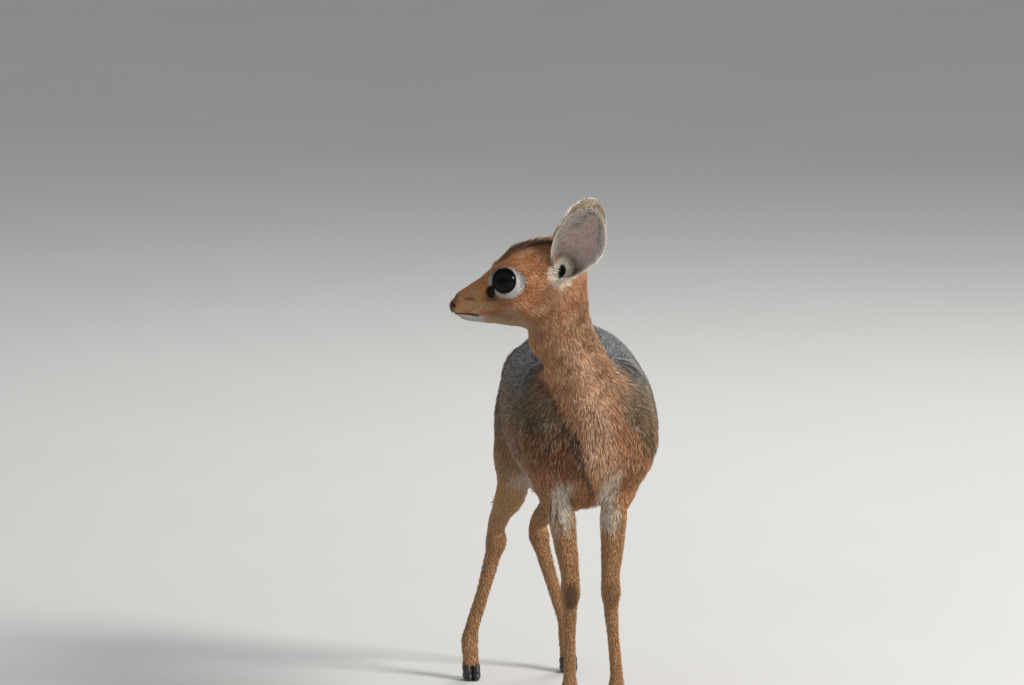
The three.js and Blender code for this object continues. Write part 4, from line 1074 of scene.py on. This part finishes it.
# %% Hair of each region: length, width, spacing and ticking
HAIR = {
    "trunk": (9.5, 0.9, 1.4, 1.0), "belly": (14, 1.2, 1.8, 0.1), "chest": (11, 0.9, 1.4, 0.25),
    "neck": (9, 0.8, 1.2, 0.25), "face": (4.6, 0.52, 0.88, 0.15), "shoulder": (9.5, 0.9, 1.4, 0.8),
    "foreleg": (6, 0.7, 1.2, 0.12), "thigh": (9.5, 0.95, 1.5, 0.75), "hindleg": (6, 0.75, 1.3, 0.2),
    "tail": (11, 1.1, 1.5, 0.4),
}
FINE_FACE = (-20, 34)
FACE_SHORTER, FACE_NARROWER = 0.55, 0.25
CREST_LONGER = 6
NOSE_EDGE = 50.8
# How strongly the hair falls: everywhere on the body, and more on the breast and the haunches.
FALL, FALL_IN_FRONT, FALL_BEHIND = 0.35, 2.2, 0.9


def hair_plan(places, share):
    """Length, width, spacing and ticking of the hair at each place."""
    length, width, spacing, tick = (sum(share[r] * HAIR[r][k] for r in REGIONS) for k in range(4))
    f, s, h = head_place(places)
    face = share["face"]
    fine = ramp(f, *FINE_FACE) * face
    length = length * (1 - FACE_SHORTER * fine)
    width = width * (1 - FACE_NARROWER * fine)
    # A crest along the crown.
    crest = face * (1 - ramp(np.abs(s), 4, 9)) * (1 - ramp(f, -4, 8)) * ramp(h, 12, 22)
    length = length + CREST_LONGER * crest
    # Longer hair at the tops of the legs and in the groin, and shorter at the feet and round the eyes.
    _, y, z = places.T
    legs = share["foreleg"] + share["hindleg"]
    length = length * (1 + 0.5 * legs * ramp(z, 150, 210)) * (1 - 0.25 * legs * (1 - ramp(z, 20, 90)))
    length = length * (1 + 0.7 * share["belly"] * ramp(y, 150, 190) * (1 - ramp(z, 215, 240)))
    eyes = np.minimum(*(np.linalg.norm(places - centre, axis=1) for centre in EYES.values()))
    length = length * (0.5 + 0.5 * ramp(eyes, 15, 24))
    return length, width, spacing, tick, crest


def hair_course(places, out, share, course):
    """The way that the hair lies along the skin, and how much of its course the skin lets it keep."""
    y = places[:, 1]
    body = share["trunk"] + share["shoulder"] + share["chest"] + share["thigh"] + share["belly"]
    fall = body * (FALL + FALL_IN_FRONT * (1 - ramp(y, 0, 70)) + FALL_BEHIND * ramp(y, 230, 280))
    course = unit(course - fall[:, None] * UP)
    along = course - out * (course * out).sum(1)[:, None]
    return unit(along), np.linalg.norm(along, axis=1)


def bald(places):
    """True where no hair grows: in lids, nostrils, glands, lips and ears, and below the hooves' tops."""
    f, s, h = head_place(places)
    a = np.abs(s)
    none = (nostril_oval(f, a, h) < 1.0) | (gland_oval(f, a, h) < 0.6)
    none |= (np.abs(h - mouth_height(f)) < 0.9) & (f > MOUTH_CORNER[0]) & (a < 15)
    none |= (nose_slant(f, h) > NOSE_EDGE) & (h > -33.5) & (a < 12)
    for side in EYES:
        ahead, beside = eye_view(places, side)
        none |= (ahead > 0) & (ahead < 20) & (beside < 12.5)
        none |= ear_hole(places, side) < 1
    return none | ((places[:, 2] < 24) & (below_coronet(places, -0.6) > 0))


# %% Roots drawn on the skin
def sow(corners, triangles, normals, spacing, rng):
    """Random places on a mesh, closer where the spacing is finer, with the normals there."""
    a, b, c = (corners[triangles[:, k]] for k in range(3))
    area = np.linalg.norm(np.cross(b - a, c - a), axis=1) / 2
    ends = np.cumsum(area / spacing[triangles].mean(1) ** 2)
    count = int(ends[-1])
    pick = np.searchsorted(ends, (np.arange(count) + rng.random(count)) / count * ends[-1])
    pick = np.minimum(pick, len(triangles) - 1)
    one, two = np.sqrt(rng.random(count)), rng.random(count)
    parts = np.stack([1 - one, one * (1 - two), one * two], 1)[:, :, None]
    chosen = triangles[pick]
    return (corners[chosen] * parts).sum(1), unit((normals[chosen] * parts).sum(1))


SEED = 21
rng = np.random.default_rng(SEED)
_, _, skin_spacing, _, _ = hair_plan(skin_at, skin_share)
roots, roots_out = sow(skin_at, skin_faces, skin_out, skin_spacing, rng)
keep = ~bald(roots)
roots, roots_out = roots[keep], roots_out[keep]
print("the coat has", len(roots), "tufts")


# %% [markdown]
# Every tuft has two rings of three corners and a tip. The colour goes from a shaded root to a light tip, and
# some tufts are ticked with black or cream, which gives the back its pepper-and-salt look.

# %% Blades of hair
TUFT_RINGS = np.array([0.0, 0.45])
TUFT_CORNERS = 7
CURL = 0.1
LEAST_RISE = 0.06
LOOSE, SWIRL = 0.12, 0.18
SINK = 0.6
DARK_TICKS, PALE_TICKS = 0.34, 0.28
ROOT_SHADE, TIP_LIGHT = 0.66, 1.08
TUFT_FACES = np.array([(0, 2, 1)] + [
    face for i, j in ((0, 1), (1, 2), (2, 0))
    for face in ((i, j, 3 + j), (i, 3 + j, 3 + i), (3 + i, 3 + j, 6))
])


def blades(at, out, lie, length, width, rise):
    """Corners of the blades, seven to each, from root to tip."""
    beside = np.cross(lie, out)
    corners = np.zeros((len(at), TUFT_CORNERS, 3))
    for k, t in enumerate(TUFT_RINGS):
        lifted = length * (rise * t - CURL * t * t) - (SINK if k == 0 else 0)
        middle = at + lie * (length * t)[:, None] + out * lifted[:, None]
        half = beside * (width / 2 * (1 - 0.15 * k))[:, None]
        corners[:, 3 * k] = middle - half
        corners[:, 3 * k + 1] = middle + out * (width * 0.35)[:, None]
        corners[:, 3 * k + 2] = middle + half
    corners[:, 6] = at + lie * length[:, None] + out * (length * (rise - CURL))[:, None]
    return corners


def blade_colours(colour, tick, rng):
    """Root, middle and tip colour of each blade, some of them ticked dark or pale."""
    count = len(colour)
    colour = colour * (1 + 0.1 * rng.standard_normal(count))[:, None].clip(0.7, 1.35)
    draw = rng.random(count)
    dark = (draw < tick * DARK_TICKS)[:, None] * (0.4 + 0.45 * rng.random((count, 1)))
    pale = (draw > 1 - tick * PALE_TICKS)[:, None] * (0.25 + 0.45 * rng.random((count, 1)))
    tip = colour * (1 - dark) + TICK_DARK * dark
    tip = tip * (1 - pale) + TICK_PALE * pale
    middle = (colour + tip * 2) / 3
    rings = np.stack([colour * ROOT_SHADE, middle, tip * TIP_LIGHT], 1)
    return rings[:, [0, 0, 0, 1, 1, 1, 2]].clip(0, 1)


def turned(lie, out, angle):
    """The lie, turned about the skin's normal by an angle."""
    return lie * np.cos(angle)[:, None] + np.cross(out, lie) * np.sin(angle)[:, None]


share, course, spots = survey(roots)
length, width, _, tick, crest = hair_plan(roots, share)
depth = coat_depth(roots, share)
colour = markings(roots, roots_out, share)
lie, kept = hair_course(roots, roots_out, share, course)
count = len(roots)
wander = LOOSE * rng.standard_normal(count) + SWIRL * mottle(roots, 34)
lie = turned(lie, roots_out, wander)
length = length * (0.8 + 0.4 * rng.random(count)) * (0.45 + 0.55 * ramp(kept, 0.15, 0.7))
width = width * (0.8 + 0.4 * rng.random(count))
rise = depth / length + CURL + 0.05 * rng.standard_normal(count) + 0.3 * crest
coat_at = blades(roots, roots_out, lie, length, width, np.maximum(rise, LEAST_RISE))
coat_colour = blade_colours(colour, tick, rng)
print("the blades are", length.min().round(1), "to", length.max().round(1), "mm long")

# %% [markdown]
# ## Hair on the ears and lashes
# The ears have short hair outside that lies toward the tip, long white hair from the front rims across the
# cup, and shorter hair inside. Dark lashes stand out from the upper lid.


# %% Hair of the ears
# Wall (0 outside, 1 inside), number, length, and whether it grows on the rims alone.
EAR_HAIR = ((0, 3800, 5.0, False), (1, 1500, 4.5, False), (1, 900, 14.0, True))
EAR_HAIR_WIDTH = 0.75
NARROWEST = 2.5


def ear_hair(side, wall, count, length, rims):
    """Roots, normals, lie and colour of the hair of one wall of an ear."""
    t = 0.06 + 0.92 * rng.random(count) ** (0.8 if wall == 0 else 0.6)
    share = rng.uniform(-0.97, 0.97, count)
    if rims:
        t = rng.uniform(0.14, 0.9, count)
        share = np.where(rng.random(count) < 0.5, -1, 1) * rng.uniform(0.72, 0.96, count)
    depth = EAR_WALL if wall else EAR_COAT
    small = 1e-3
    at = ear_place(side, t, share, depth)
    along = unit(ear_place(side, t + small * 0.5, share, depth) - at)
    across = unit(ear_place(side, t, share + small, depth) - at)
    out = unit(np.cross(along, across))
    root, axis, opens, _ = ear_frame(side)
    half, _, radius = ear_row(t)
    middle = root + axis * EAR_LENGTH * t[:, None] + opens * radius[:, None] * 0.5
    facing = (out * (at - middle)).sum(1)
    out = out * np.where((facing > 0) == (wall == 0), 1, -1)[:, None]
    if rims:
        along = unit(along * 0.8 - across * np.sign(share)[:, None] * 0.6)
    grown = half > NARROWEST
    colour = paint_ear(np.full(count, float(wall)), t, share)
    if wall:
        colour = colour * 0.35 + WHITE * 0.65
    size = np.full(count, float(length)) * (0.7 + 0.6 * rng.random(count))
    spot = np.stack([np.zeros(count), share / 2 + 0.5, t], 1)
    return [part[grown] for part in (at, out, along, size, colour, spot)]


ear_parts = []
for side in (1, -1):
    ear_parts += [ear_hair(side, *kind) for kind in EAR_HAIR]
ear_roots, ear_out, ear_lie, ear_size, ear_tone, ear_spot = (np.concatenate(part) for part in zip(*ear_parts))
count = len(ear_roots)
ear_lie = turned(ear_lie, ear_out, 0.14 * rng.standard_normal(count))
ear_rise = CURL + 0.08 + 0.06 * rng.random(count)
ear_blades = blades(ear_roots, ear_out, ear_lie, ear_size, np.full(count, EAR_HAIR_WIDTH), ear_rise)
ear_blade_colour = blade_colours(ear_tone, np.full(count, 0.3), rng)
print("the ears have", count, "tufts")


# %% Lashes on the upper lids
LASHES = 46
LASH_ENDS = np.radians([20, 160])
LASH_WIDTH, LASH_RISE = 0.35, 0.3


def lashes(side, count):
    axis, beside, above = eye_frame(side)
    turn = np.linspace(*LASH_ENDS, count) + 0.03 * rng.standard_normal(count)
    around = np.cos(turn)[:, None] * beside + np.sin(turn)[:, None] * above
    forward, wide = (LID_RIM + 0.4) * math.cos(LID_OPENING), (LID_RIM + 0.2) * math.sin(LID_OPENING)
    at = EYES[side] + axis * forward + around * wide
    out = unit(around - axis * 0.4)
    lie = unit(axis + around * 0.35)
    out = unit(out - lie * (out * lie).sum(1)[:, None])
    spot = np.stack([np.zeros(count), turn / 6, np.linspace(0, 1, count)], 1)
    return at, out, lie, spot


lash_parts = [lashes(side, LASHES) for side in (1, -1)]
lash_at, lash_out, lash_lie, lash_spot = (np.concatenate(part) for part in zip(*lash_parts))
count = len(lash_at)
lash_length = 4.2 + 1.6 * rng.random(count)
lash_width, lash_rise = np.full(count, LASH_WIDTH), np.full(count, LASH_RISE)
lash_blades = blades(lash_at, lash_out, lash_lie, lash_length, lash_width, lash_rise)
lash_colour = np.tile(BLACK, (count, TUFT_CORNERS, 1))

# %% [markdown]
# ## Eyes
# The eyeball is a sphere with a slight bulge of cornea. Its pupil is a wide oval in a very dark brown iris,
# so that the whole eye looks black until light catches it. A dark, closed ring lines the lids round it.

# %% Eyeballs and the rims of the lids
EYE_ROWS, EYE_COLUMNS = 44, 72
CORNEA = 0.45
PUPIL = (0.42, 0.27)
EYE_EDGE, IRIS, PUPIL_BLACK = tone(9, 7, 7), tone(15, 10, 9), tone(5, 4, 5)
IRIS_STREAKS = 36
RIM_STEPS, TUBE_STEPS = 72, 10
RIM_RADIUS = EYE_RADIUS + 0.55
RIM_TUBE = 0.7


def make_eye(side):
    axis, beside, above = eye_frame(side)
    down, turn = np.meshgrid(
        np.linspace(0, math.pi, EYE_ROWS + 1)[1:-1], np.linspace(0, 2 * math.pi, EYE_COLUMNS, endpoint=False),
        indexing="ij")
    down, turn = np.r_[0, down.ravel(), math.pi], np.r_[0, turn.ravel(), 0]
    radius = EYE_RADIUS + CORNEA * (1 - ramp(down, 0.1, 0.75))
    sides = np.sin(down)[:, None] * (np.cos(turn)[:, None] * beside + np.sin(turn)[:, None] * above)
    at = EYES[side] + radius[:, None] * (np.cos(down)[:, None] * axis + sides)
    a = np.arange(EYE_COLUMNS)
    b = (a + 1) % EYE_COLUMNS
    last = len(at) - 1
    here = 1 + EYE_COLUMNS * np.arange(EYE_ROWS - 2)[:, None]
    there = here + EYE_COLUMNS
    rings = np.stack([here + a, there + a, there + b, here + b], -1).reshape(-1, 4)
    front = np.stack([a * 0, a + 1, b + 1], 1)
    back = np.stack([last - EYE_COLUMNS + a, a * 0 + last, last - EYE_COLUMNS + b], 1)
    wide, tall = np.sin(down) * np.cos(turn), np.sin(down) * np.sin(turn)
    pupil = np.hypot(wide / PUPIL[0], tall / PUPIL[1])
    paint = Paint(EYE_EDGE, len(at))
    streaks = 0.5 + 0.5 * np.sin(turn * IRIS_STREAKS)
    paint.lay(IRIS, (1 - ramp(np.sin(down), 0.62, 0.74)) * (0.6 + 0.4 * streaks))
    paint.lay(PUPIL_BLACK, 1 - ramp(pupil, 0.92, 1.1))
    paint.lay(PUPIL_BLACK, down > 1.6)
    return at, outwards(at, np.concatenate([front, halves(at, rings), back])), paint.colour


def make_lid_rim(side):
    """A closed dark ring just inside the edge of the lids."""
    axis, beside, above = eye_frame(side)
    i, j = (k.ravel() for k in np.meshgrid(np.arange(RIM_STEPS), np.arange(TUBE_STEPS), indexing="ij"))
    turn, tube = i * 2 * math.pi / RIM_STEPS, j * 2 * math.pi / TUBE_STEPS
    around = np.cos(turn)[:, None] * beside + np.sin(turn)[:, None] * above
    out = (RIM_RADIUS * math.sin(LID_OPENING) + RIM_TUBE * np.cos(tube))[:, None]
    ahead = (RIM_RADIUS * math.cos(LID_OPENING) + RIM_TUBE * np.sin(tube))[:, None]
    at = EYES[side] + around * out + axis * ahead
    here, there, after = i * TUBE_STEPS, (i + 1) % RIM_STEPS * TUBE_STEPS, (j + 1) % TUBE_STEPS
    rings = np.stack([here + j, there + j, there + after, here + after], 1)
    return at, outwards(at, halves(at, rings))


# %% [markdown]
# ## Hooves and dewclaws
# Each foot stands on two narrow, pointed hooves of black horn, with a pair of tiny claws behind. They are
# made as fields as well, cut flat at the sole, at the cleft between them and along the band under the hair.

# %% Hoof shapes
HOOF_LENGTH = 21.0
HOOF_WIDTH = 8.4
HOOF_GAP = 0.3
TOE_SHARE = 0.62
HOOF_CELL = 1.1
CLAW_CELL = 0.6


def make_hoof(foot, side):
    x, y = foot
    centre = x + side * (HOOF_WIDTH + HOOF_GAP) / 2
    toe, heel, inner = y - HOOF_LENGTH * TOE_SHARE, y + HOOF_LENGTH * (1 - TOE_SHARE), HOOF_WIDTH / 2
    sole = Limb([
        (centre, heel - 3, 3.4, 3.6, 3.8), (centre, y - 3, 4, 4, inner),
        (centre - side * 0.6, toe + 4, 3.4, 3.4, 3), (centre - side * 1.6, toe + 1.6, 2.4, 1.8, 1.6),
    ], blend=3)
    wall = Limb([
        (centre, heel - 4.5, 11, 5, inner), (centre, y - 1.5, 12, 5.2, inner),
        (centre - side * 0.4, toe + 9, 8, 4.2, inner * 0.86),
        (centre - side * 0.9, toe + 4.6, 4.6, 3, inner * 0.62),
    ], blend=4)

    def distance(places):
        cleft = HOOF_GAP / 2 - side * (places[:, 0] - x)
        band = -below_coronet(places, 0)
        return np.maximum.reduce([limbs_distance([sole, wall], places), cleft, -places[:, 2], band])

    return facet(distance, [centre - 10, toe - 5, -4], [centre + 10, heel + 8, 24], HOOF_CELL)


def make_claw(node):
    low, high = (np.array(corner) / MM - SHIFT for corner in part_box(node))
    x, y = (low[:2] + high[:2]) / 2
    horn = Limb([
        (x, y - 1.2, high[2] - 2.4, 2.2, 2.4), (x, y + 0.3, (low[2] + high[2]) / 2, 1.9, 2.1),
        (x, y + 1.2, low[2] + 1.0, 0.9, 1.2),
    ], blend=2)
    return facet(lambda places: limbs_distance([horn], places), low - 3, high + 3, CLAW_CELL)


# %% [markdown]
# ## Materials
# Shader maths is written as plain arithmetic: a small class wraps a socket, and an expression on it adds the
# Math nodes. The coat's colour is the painted attribute, broken up by fine noise on the object's own
# coordinates, which stays put in every view.


# %% A small language for shaders
class Wire:
    """An output socket. Arithmetic on it adds Math nodes to its shader."""

    def __init__(self, shader, socket):
        self.shader = shader
        self.socket = socket

    def maths(self, operation, a, b):
        return self.shader.node("ShaderNodeMath", {"operation": operation}, {0: a, 1: b})

    def __add__(self, other):
        return self.maths("ADD", self, other)

    def __radd__(self, other):
        return self.maths("ADD", other, self)

    def __sub__(self, other):
        return self.maths("SUBTRACT", self, other)

    def __rsub__(self, other):
        return self.maths("SUBTRACT", other, self)

    def __mul__(self, other):
        return self.maths("MULTIPLY", self, other)

    def __rmul__(self, other):
        return self.maths("MULTIPLY", other, self)


class Shader:
    """A material's node tree, with one method that adds any node."""

    def __init__(self, name):
        self.material = bpy.data.materials.new(name)
        self.material.use_nodes = True
        self.tree = self.material.node_tree
        self.tree.nodes.clear()

    def node(self, kind, settings=None, sockets=None, output=0):
        node = self.tree.nodes.new(kind)
        for key, value in (settings or {}).items():
            setattr(node, key, value)
        for key, value in (sockets or {}).items():
            if isinstance(value, Wire):
                self.tree.links.new(value.socket, node.inputs[key])
            else:
                node.inputs[key].default_value = value
        return Wire(self, node.outputs[output])

    def noise(self, scale, detail=3.0, stretch=(1, 1, 1)):
        place = self.node("ShaderNodeTexCoord", output="Object")
        place = self.node("ShaderNodeMapping", {}, {"Vector": place, "Scale": stretch})
        return self.node("ShaderNodeTexNoise", {}, {"Vector": place, "Scale": scale, "Detail": detail})

    def attribute(self, name, output):
        return self.node("ShaderNodeAttribute", {"attribute_name": name}, output=output)

    def times(self, colour, grey):
        settings = {"data_type": "RGBA", "blend_type": "MULTIPLY"}
        return self.node("ShaderNodeMix", settings, {0: 1.0, 6: colour, 7: grey}, output=2)

    def bump(self, height, strength, distance):
        return self.node("ShaderNodeBump", {}, {"Height": height, "Strength": strength, "Distance": distance})

    def finish(self, colour, roughness, specular=0.5, **sockets):
        names = {"Base Color": colour, "Roughness": roughness, "Specular IOR Level": specular, **sockets}
        surface = self.node("ShaderNodeBsdfPrincipled", {}, names)
        out = self.tree.nodes.new("ShaderNodeOutputMaterial")
        self.tree.links.new(surface.socket, out.inputs["Surface"])
        return self.material


HORN_COLOUR = (0.022, 0.019, 0.017, 1)
FLOOR_COLOUR = (0.62, 0.61, 0.59, 1)


def coat_material(name, fleck, roughness):
    shader = Shader(name)
    shade = 0.82 + 0.36 * shader.noise(fleck, 2.0)
    colour = shader.times(shader.attribute("coat", "Color"), shade)
    return shader.finish(colour, roughness, specular=0.2)


def skin_material():
    shader = Shader("skin")
    grain = shader.noise(420, 4.0, (1, 1, 0.45))
    colour = shader.times(shader.attribute("coat", "Color"), 0.75 + 0.5 * grain)
    wet = shader.attribute("wet", "Fac")
    normal = shader.bump(grain + 0.6 * shader.noise(1500, 2.0), 0.5, 0.0012)
    return shader.finish(colour, 0.85 - 0.5 * wet, specular=0.35, Normal=normal)


def eye_material():
    shader = Shader("wet_eye")
    cloud = shader.noise(300, 3.0)
    colour = shader.times(shader.attribute("coat", "Color"), 0.8 + 0.4 * cloud)
    return shader.finish(colour, 0.05 + 0.03 * cloud, specular=0.25, IOR=1.33)


def horn_material():
    shader = Shader("black_horn")
    rings = shader.noise(240, 3.0, (0.5, 0.5, 4.0))
    worn = shader.noise(90, 2.0)
    shade = 0.6 + 0.5 * rings + 0.4 * worn
    colour = shader.times(HORN_COLOUR, shade)
    normal = shader.bump(rings, 0.5, 0.0006)
    return shader.finish(colour, 0.35 + 0.25 * worn, Normal=normal)


def floor_material():
    shader = Shader("pale_floor")
    colour = shader.times(FLOOR_COLOUR, 0.97 + 0.06 * shader.noise(3.0, 3.0))
    return shader.finish(colour, 0.9, specular=0.1)


SKIN = skin_material()
EYE = eye_material()
HORN = horn_material()
COATS = {
    "coat_grizzled": coat_material("grizzled_hair", 260, 0.72),
    "coat_rufous": coat_material("rufous_hair", 380, 0.68),
    "coat_legs": coat_material("leg_hair", 420, 0.66),
}
print("materials:", len(bpy.data.materials))

# %% [markdown]
# ## Pieces
# Meshes of many thousand faces are set from arrays, which is far quicker than building them face by face.
# Every piece has its place in its mesh and its object at the origin, and rides on the one body.


# %% From arrays to pieces
def add_piece(name, at, faces, colour, material, slot, replaces=(), wet=None, patches=None):
    mesh = bpy.data.meshes.new(name)
    mesh.vertices.add(len(at))
    mesh.vertices.foreach_set("co", ((at + SHIFT) * MM).astype(np.float32).ravel())
    mesh.loops.add(faces.size)
    mesh.loops.foreach_set("vertex_index", faces.astype(np.int32).ravel())
    mesh.polygons.add(len(faces))
    mesh.polygons.foreach_set("loop_start", np.arange(0, faces.size, 3, dtype=np.int32))
    if patches is not None:
        layer = mesh.uv_layers.new(name="OFBake")
        layer.data.foreach_set("uv", patches[faces.ravel()].astype(np.float32).ravel())
    paint = mesh.attributes.new("coat", "FLOAT_COLOR", "POINT")
    rgba = np.c_[colour, np.ones(len(colour))].astype(np.float32)
    paint.data.foreach_set("color", rgba.ravel())
    if wet is not None:
        mesh.attributes.new("wet", "FLOAT", "POINT").data.foreach_set("value", wet.astype(np.float32))
    mesh.update(calc_edges=True)
    mesh.shade_smooth()
    mesh.materials.append(material)
    piece = bpy.data.objects.new(name, mesh)
    bpy.context.scene.collection.objects.link(piece)
    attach(piece, "root")
    if replaces:
        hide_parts(*replaces)
    return piece


def joined(parts):
    """Several meshes of corners, triangles, colours and wetness as one."""
    at, faces, colour, wet = zip(*parts)
    start = np.cumsum([0] + [len(corners) for corners in at])
    faces = [one + first for one, first in zip(faces, start)]
    return [np.concatenate(values) for values in (at, faces, colour, wet)]


# %% Skin, eyes and hooves
SIDES = ((1, "left"), (-1, "right"))
EAR_SHADE = 0.85
HORN_GREY = 0.02
FLESH = ["torso", "neck", "head", "tail", "ear_left", "ear_right"]
FLESH += [f"{leg}_{part}" for leg in LEGS for part in ("upper", "lower")]
skin_parts = [(skin_at, skin_faces, skin_colour, skin_wet)]
for side in (1, -1):
    at, faces, wall, t, across = ears[side]
    skin_parts.append((at, faces, paint_ear(wall, t, across) * EAR_SHADE, np.zeros(len(at))))
    at, faces = make_lid_rim(side)
    skin_parts.append((at, faces, np.tile(BLACK, (len(at), 1)), np.ones(len(at))))
at, faces, colour, wet = joined(skin_parts)
add_piece("skin", at, faces, colour, SKIN, "coat_rufous", FLESH, wet)
print("skin:", len(faces), "triangles")
for side, name in SIDES:
    at, faces, colour = make_eye(side)
    add_piece(f"eyeball_{name}", at, faces, colour, EYE, "eye", [f"eye_{name}"])


def add_horn(name, shape, node):
    at, faces = shape
    add_piece(name, at, faces, np.full((len(at), 3), HORN_GREY), HORN, "horn", [node])


for leg, parts in LEGS.items():
    for side, name in SIDES:
        add_horn(f"horn_{leg}_{name}", make_hoof(parts["foot"], side), f"hoof_{leg}_{name}")
        add_horn(f"claw_{leg}_{name}", make_claw(f"dewclaw_{leg}_{name}"), f"dewclaw_{leg}_{name}")
print("eyes and", len(LEGS) * len(SIDES), "hooves with their claws are made")

# %% [markdown]
# ## Coat pieces and their unwrap
# The coat is split into pieces of under 200,000 triangles. On each piece's unwrap, a limb has a strip as high
# as its share of the tufts, and each tuft is a small patch at its root's place, so that a bake keeps each
# tuft's own colours.

# %% Coat pieces
MOST_TUFTS = 19500
PATCH = 0.0015
MARGIN_ACROSS, MARGIN_UP = 0.005, 0.004
PATCH_TURN = np.radians([90, 210, 330])
PATCH_RING = np.stack([np.cos(PATCH_TURN), np.sin(PATCH_TURN)], 1) * PATCH
PATCH_SHAPE = np.concatenate([PATCH_RING, PATCH_RING * 0.5, [[0, 0]]])


def unwrap(spots):
    """The patch of each tuft: limbs in strips, round them across and along them upwards."""
    place = np.zeros((len(spots), 2))
    start = 0.0
    for limb in np.unique(spots[:, 0]):
        mine = spots[:, 0] == limb
        height = mine.mean()
        along = spots[mine, 2]
        along = (along - along.min()) / max(np.ptp(along), 1e-6)
        place[mine, 0] = MARGIN_ACROSS + (1 - 2 * MARGIN_ACROSS) * spots[mine, 1]
        up = start + height * (0.01 + 0.98 * along)
        place[mine, 1] = MARGIN_UP + (1 - 2 * MARGIN_UP) * up
        start += height
    return (place[:, None, :] + PATCH_SHAPE).reshape(-1, 2)


def add_coat(name, corners, colours, spots, slot):
    """The tufts of one part of the coat, in as many pieces as their number needs."""
    pieces = int(math.ceil(len(corners) / MOST_TUFTS))
    for number, chosen in enumerate(np.array_split(np.arange(len(corners)), pieces)):
        first = np.arange(len(chosen))[:, None, None] * TUFT_CORNERS
        faces = (TUFT_FACES[None] + first).reshape(-1, 3)
        at = corners[chosen].reshape(-1, 3)
        colour = colours[chosen].reshape(-1, 3)
        piece = f"coat_{name}_{number + 1}"
        add_piece(piece, at, faces, colour, COATS[slot], slot, patches=unwrap(spots[chosen]))
    print(name, "coat:", len(corners), "tufts in", pieces, "pieces")


# Regions of each part, its finish, and the direction (0 for X, 1 for Y, 2 for Z) that it is split along.
COAT_PARTS = {
    "body": (("trunk", "belly", "shoulder", "thigh", "tail"), "coat_grizzled", 1),
    "neck": (("neck", "chest"), "coat_rufous", 2),
    "face": (("face",), "coat_rufous", 0),
    "legs": (("foreleg", "hindleg"), "coat_legs", 2),
}
part_shares = np.array([sum(share[region] for region in regions) for regions, _, _ in COAT_PARTS.values()])
part_of = part_shares.argmax(0)
for number, (name, (_, slot, axis)) in enumerate(COAT_PARTS.items()):
    mine = np.flatnonzero(part_of == number)
    mine = mine[np.argsort(roots[mine, axis], kind="stable")]
    add_coat(name, coat_at[mine], coat_colour[mine], spots[mine], slot)
add_coat("ears", ear_blades, ear_blade_colour, ear_spot, "coat_grizzled")
add_coat("lashes", lash_blades, lash_colour, lash_spot, "coat_rufous")

# %% [markdown]
# ## Floor and light
# A plain pale floor and soft studio lights show her from all sides: a key lamp from the right and above, a
# weak, broad fill from the left, a rim lamp from behind, and a pale room all round. Only the key lamp shows
# as a glint in the eyes.


# %% Studio
# Name, place, size, watts, colour, and whether the lamp shows in what is glossy.
LAMPS = (
    ("key", (2.5, -1.5, 1.9), 1.2, 125, (1.0, 0.98, 0.95), True),
    ("fill", (-1.2, -2.6, 1.2), 1.8, 7, (0.94, 0.97, 1.0), False),
    ("rim", (0.9, 2.0, 2.2), 1.2, 36, (1.0, 0.98, 0.95), False),
)
LAMP_TARGET = Vector((0, 0, 0.3))
FLOOR_REACH = 30.0
ROOM_COLOUR, ROOM_STRENGTH = (0.9, 0.94, 1.0, 1), 0.4


def lamp(name, place, size, power, colour, shines):
    data = bpy.data.lights.new(name, "AREA")
    data.shape = "DISK"
    data.size = size
    data.energy = power
    data.color = colour
    light = bpy.data.objects.new(name, data)
    light.location = Vector(place)
    light.visible_glossy = shines
    light.rotation_euler = (light.location - LAMP_TARGET).to_track_quat("Z", "Y").to_euler()
    bpy.context.scene.collection.objects.link(light)


def make_floor():
    corners = [(x * FLOOR_REACH, y * FLOOR_REACH, 0) for x, y in ((-1, -1), (1, -1), (1, 1), (-1, 1))]
    mesh = bpy.data.meshes.new("floor")
    mesh.from_pydata(corners, [], [(0, 1, 2, 3)])
    mesh.materials.append(floor_material())
    floor = bpy.data.objects.new("floor", mesh)
    bpy.context.scene.collection.objects.link(floor)
    floor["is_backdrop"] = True


def make_room():
    world = bpy.data.worlds.new("room")
    world.use_nodes = True
    background = world.node_tree.nodes["Background"]
    background.inputs["Color"].default_value = ROOM_COLOUR
    background.inputs["Strength"].default_value = ROOM_STRENGTH
    bpy.context.scene.world = world


for settings in LAMPS:
    lamp(*settings)
make_floor()
make_room()
bpy.context.scene.view_settings.view_transform = "Standard"
print("floor, room and three lamps are made")

# %% [markdown]
# ## The size of the result
# The dressed animal should keep the size of the solids, so both boxes are printed.

# %% Print the boxes and finish
visual_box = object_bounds()
for name, box in (("solids", cad_box), ("dressed", visual_box)):
    print(name, [[round(c, 3) for c in corner] for corner in box])
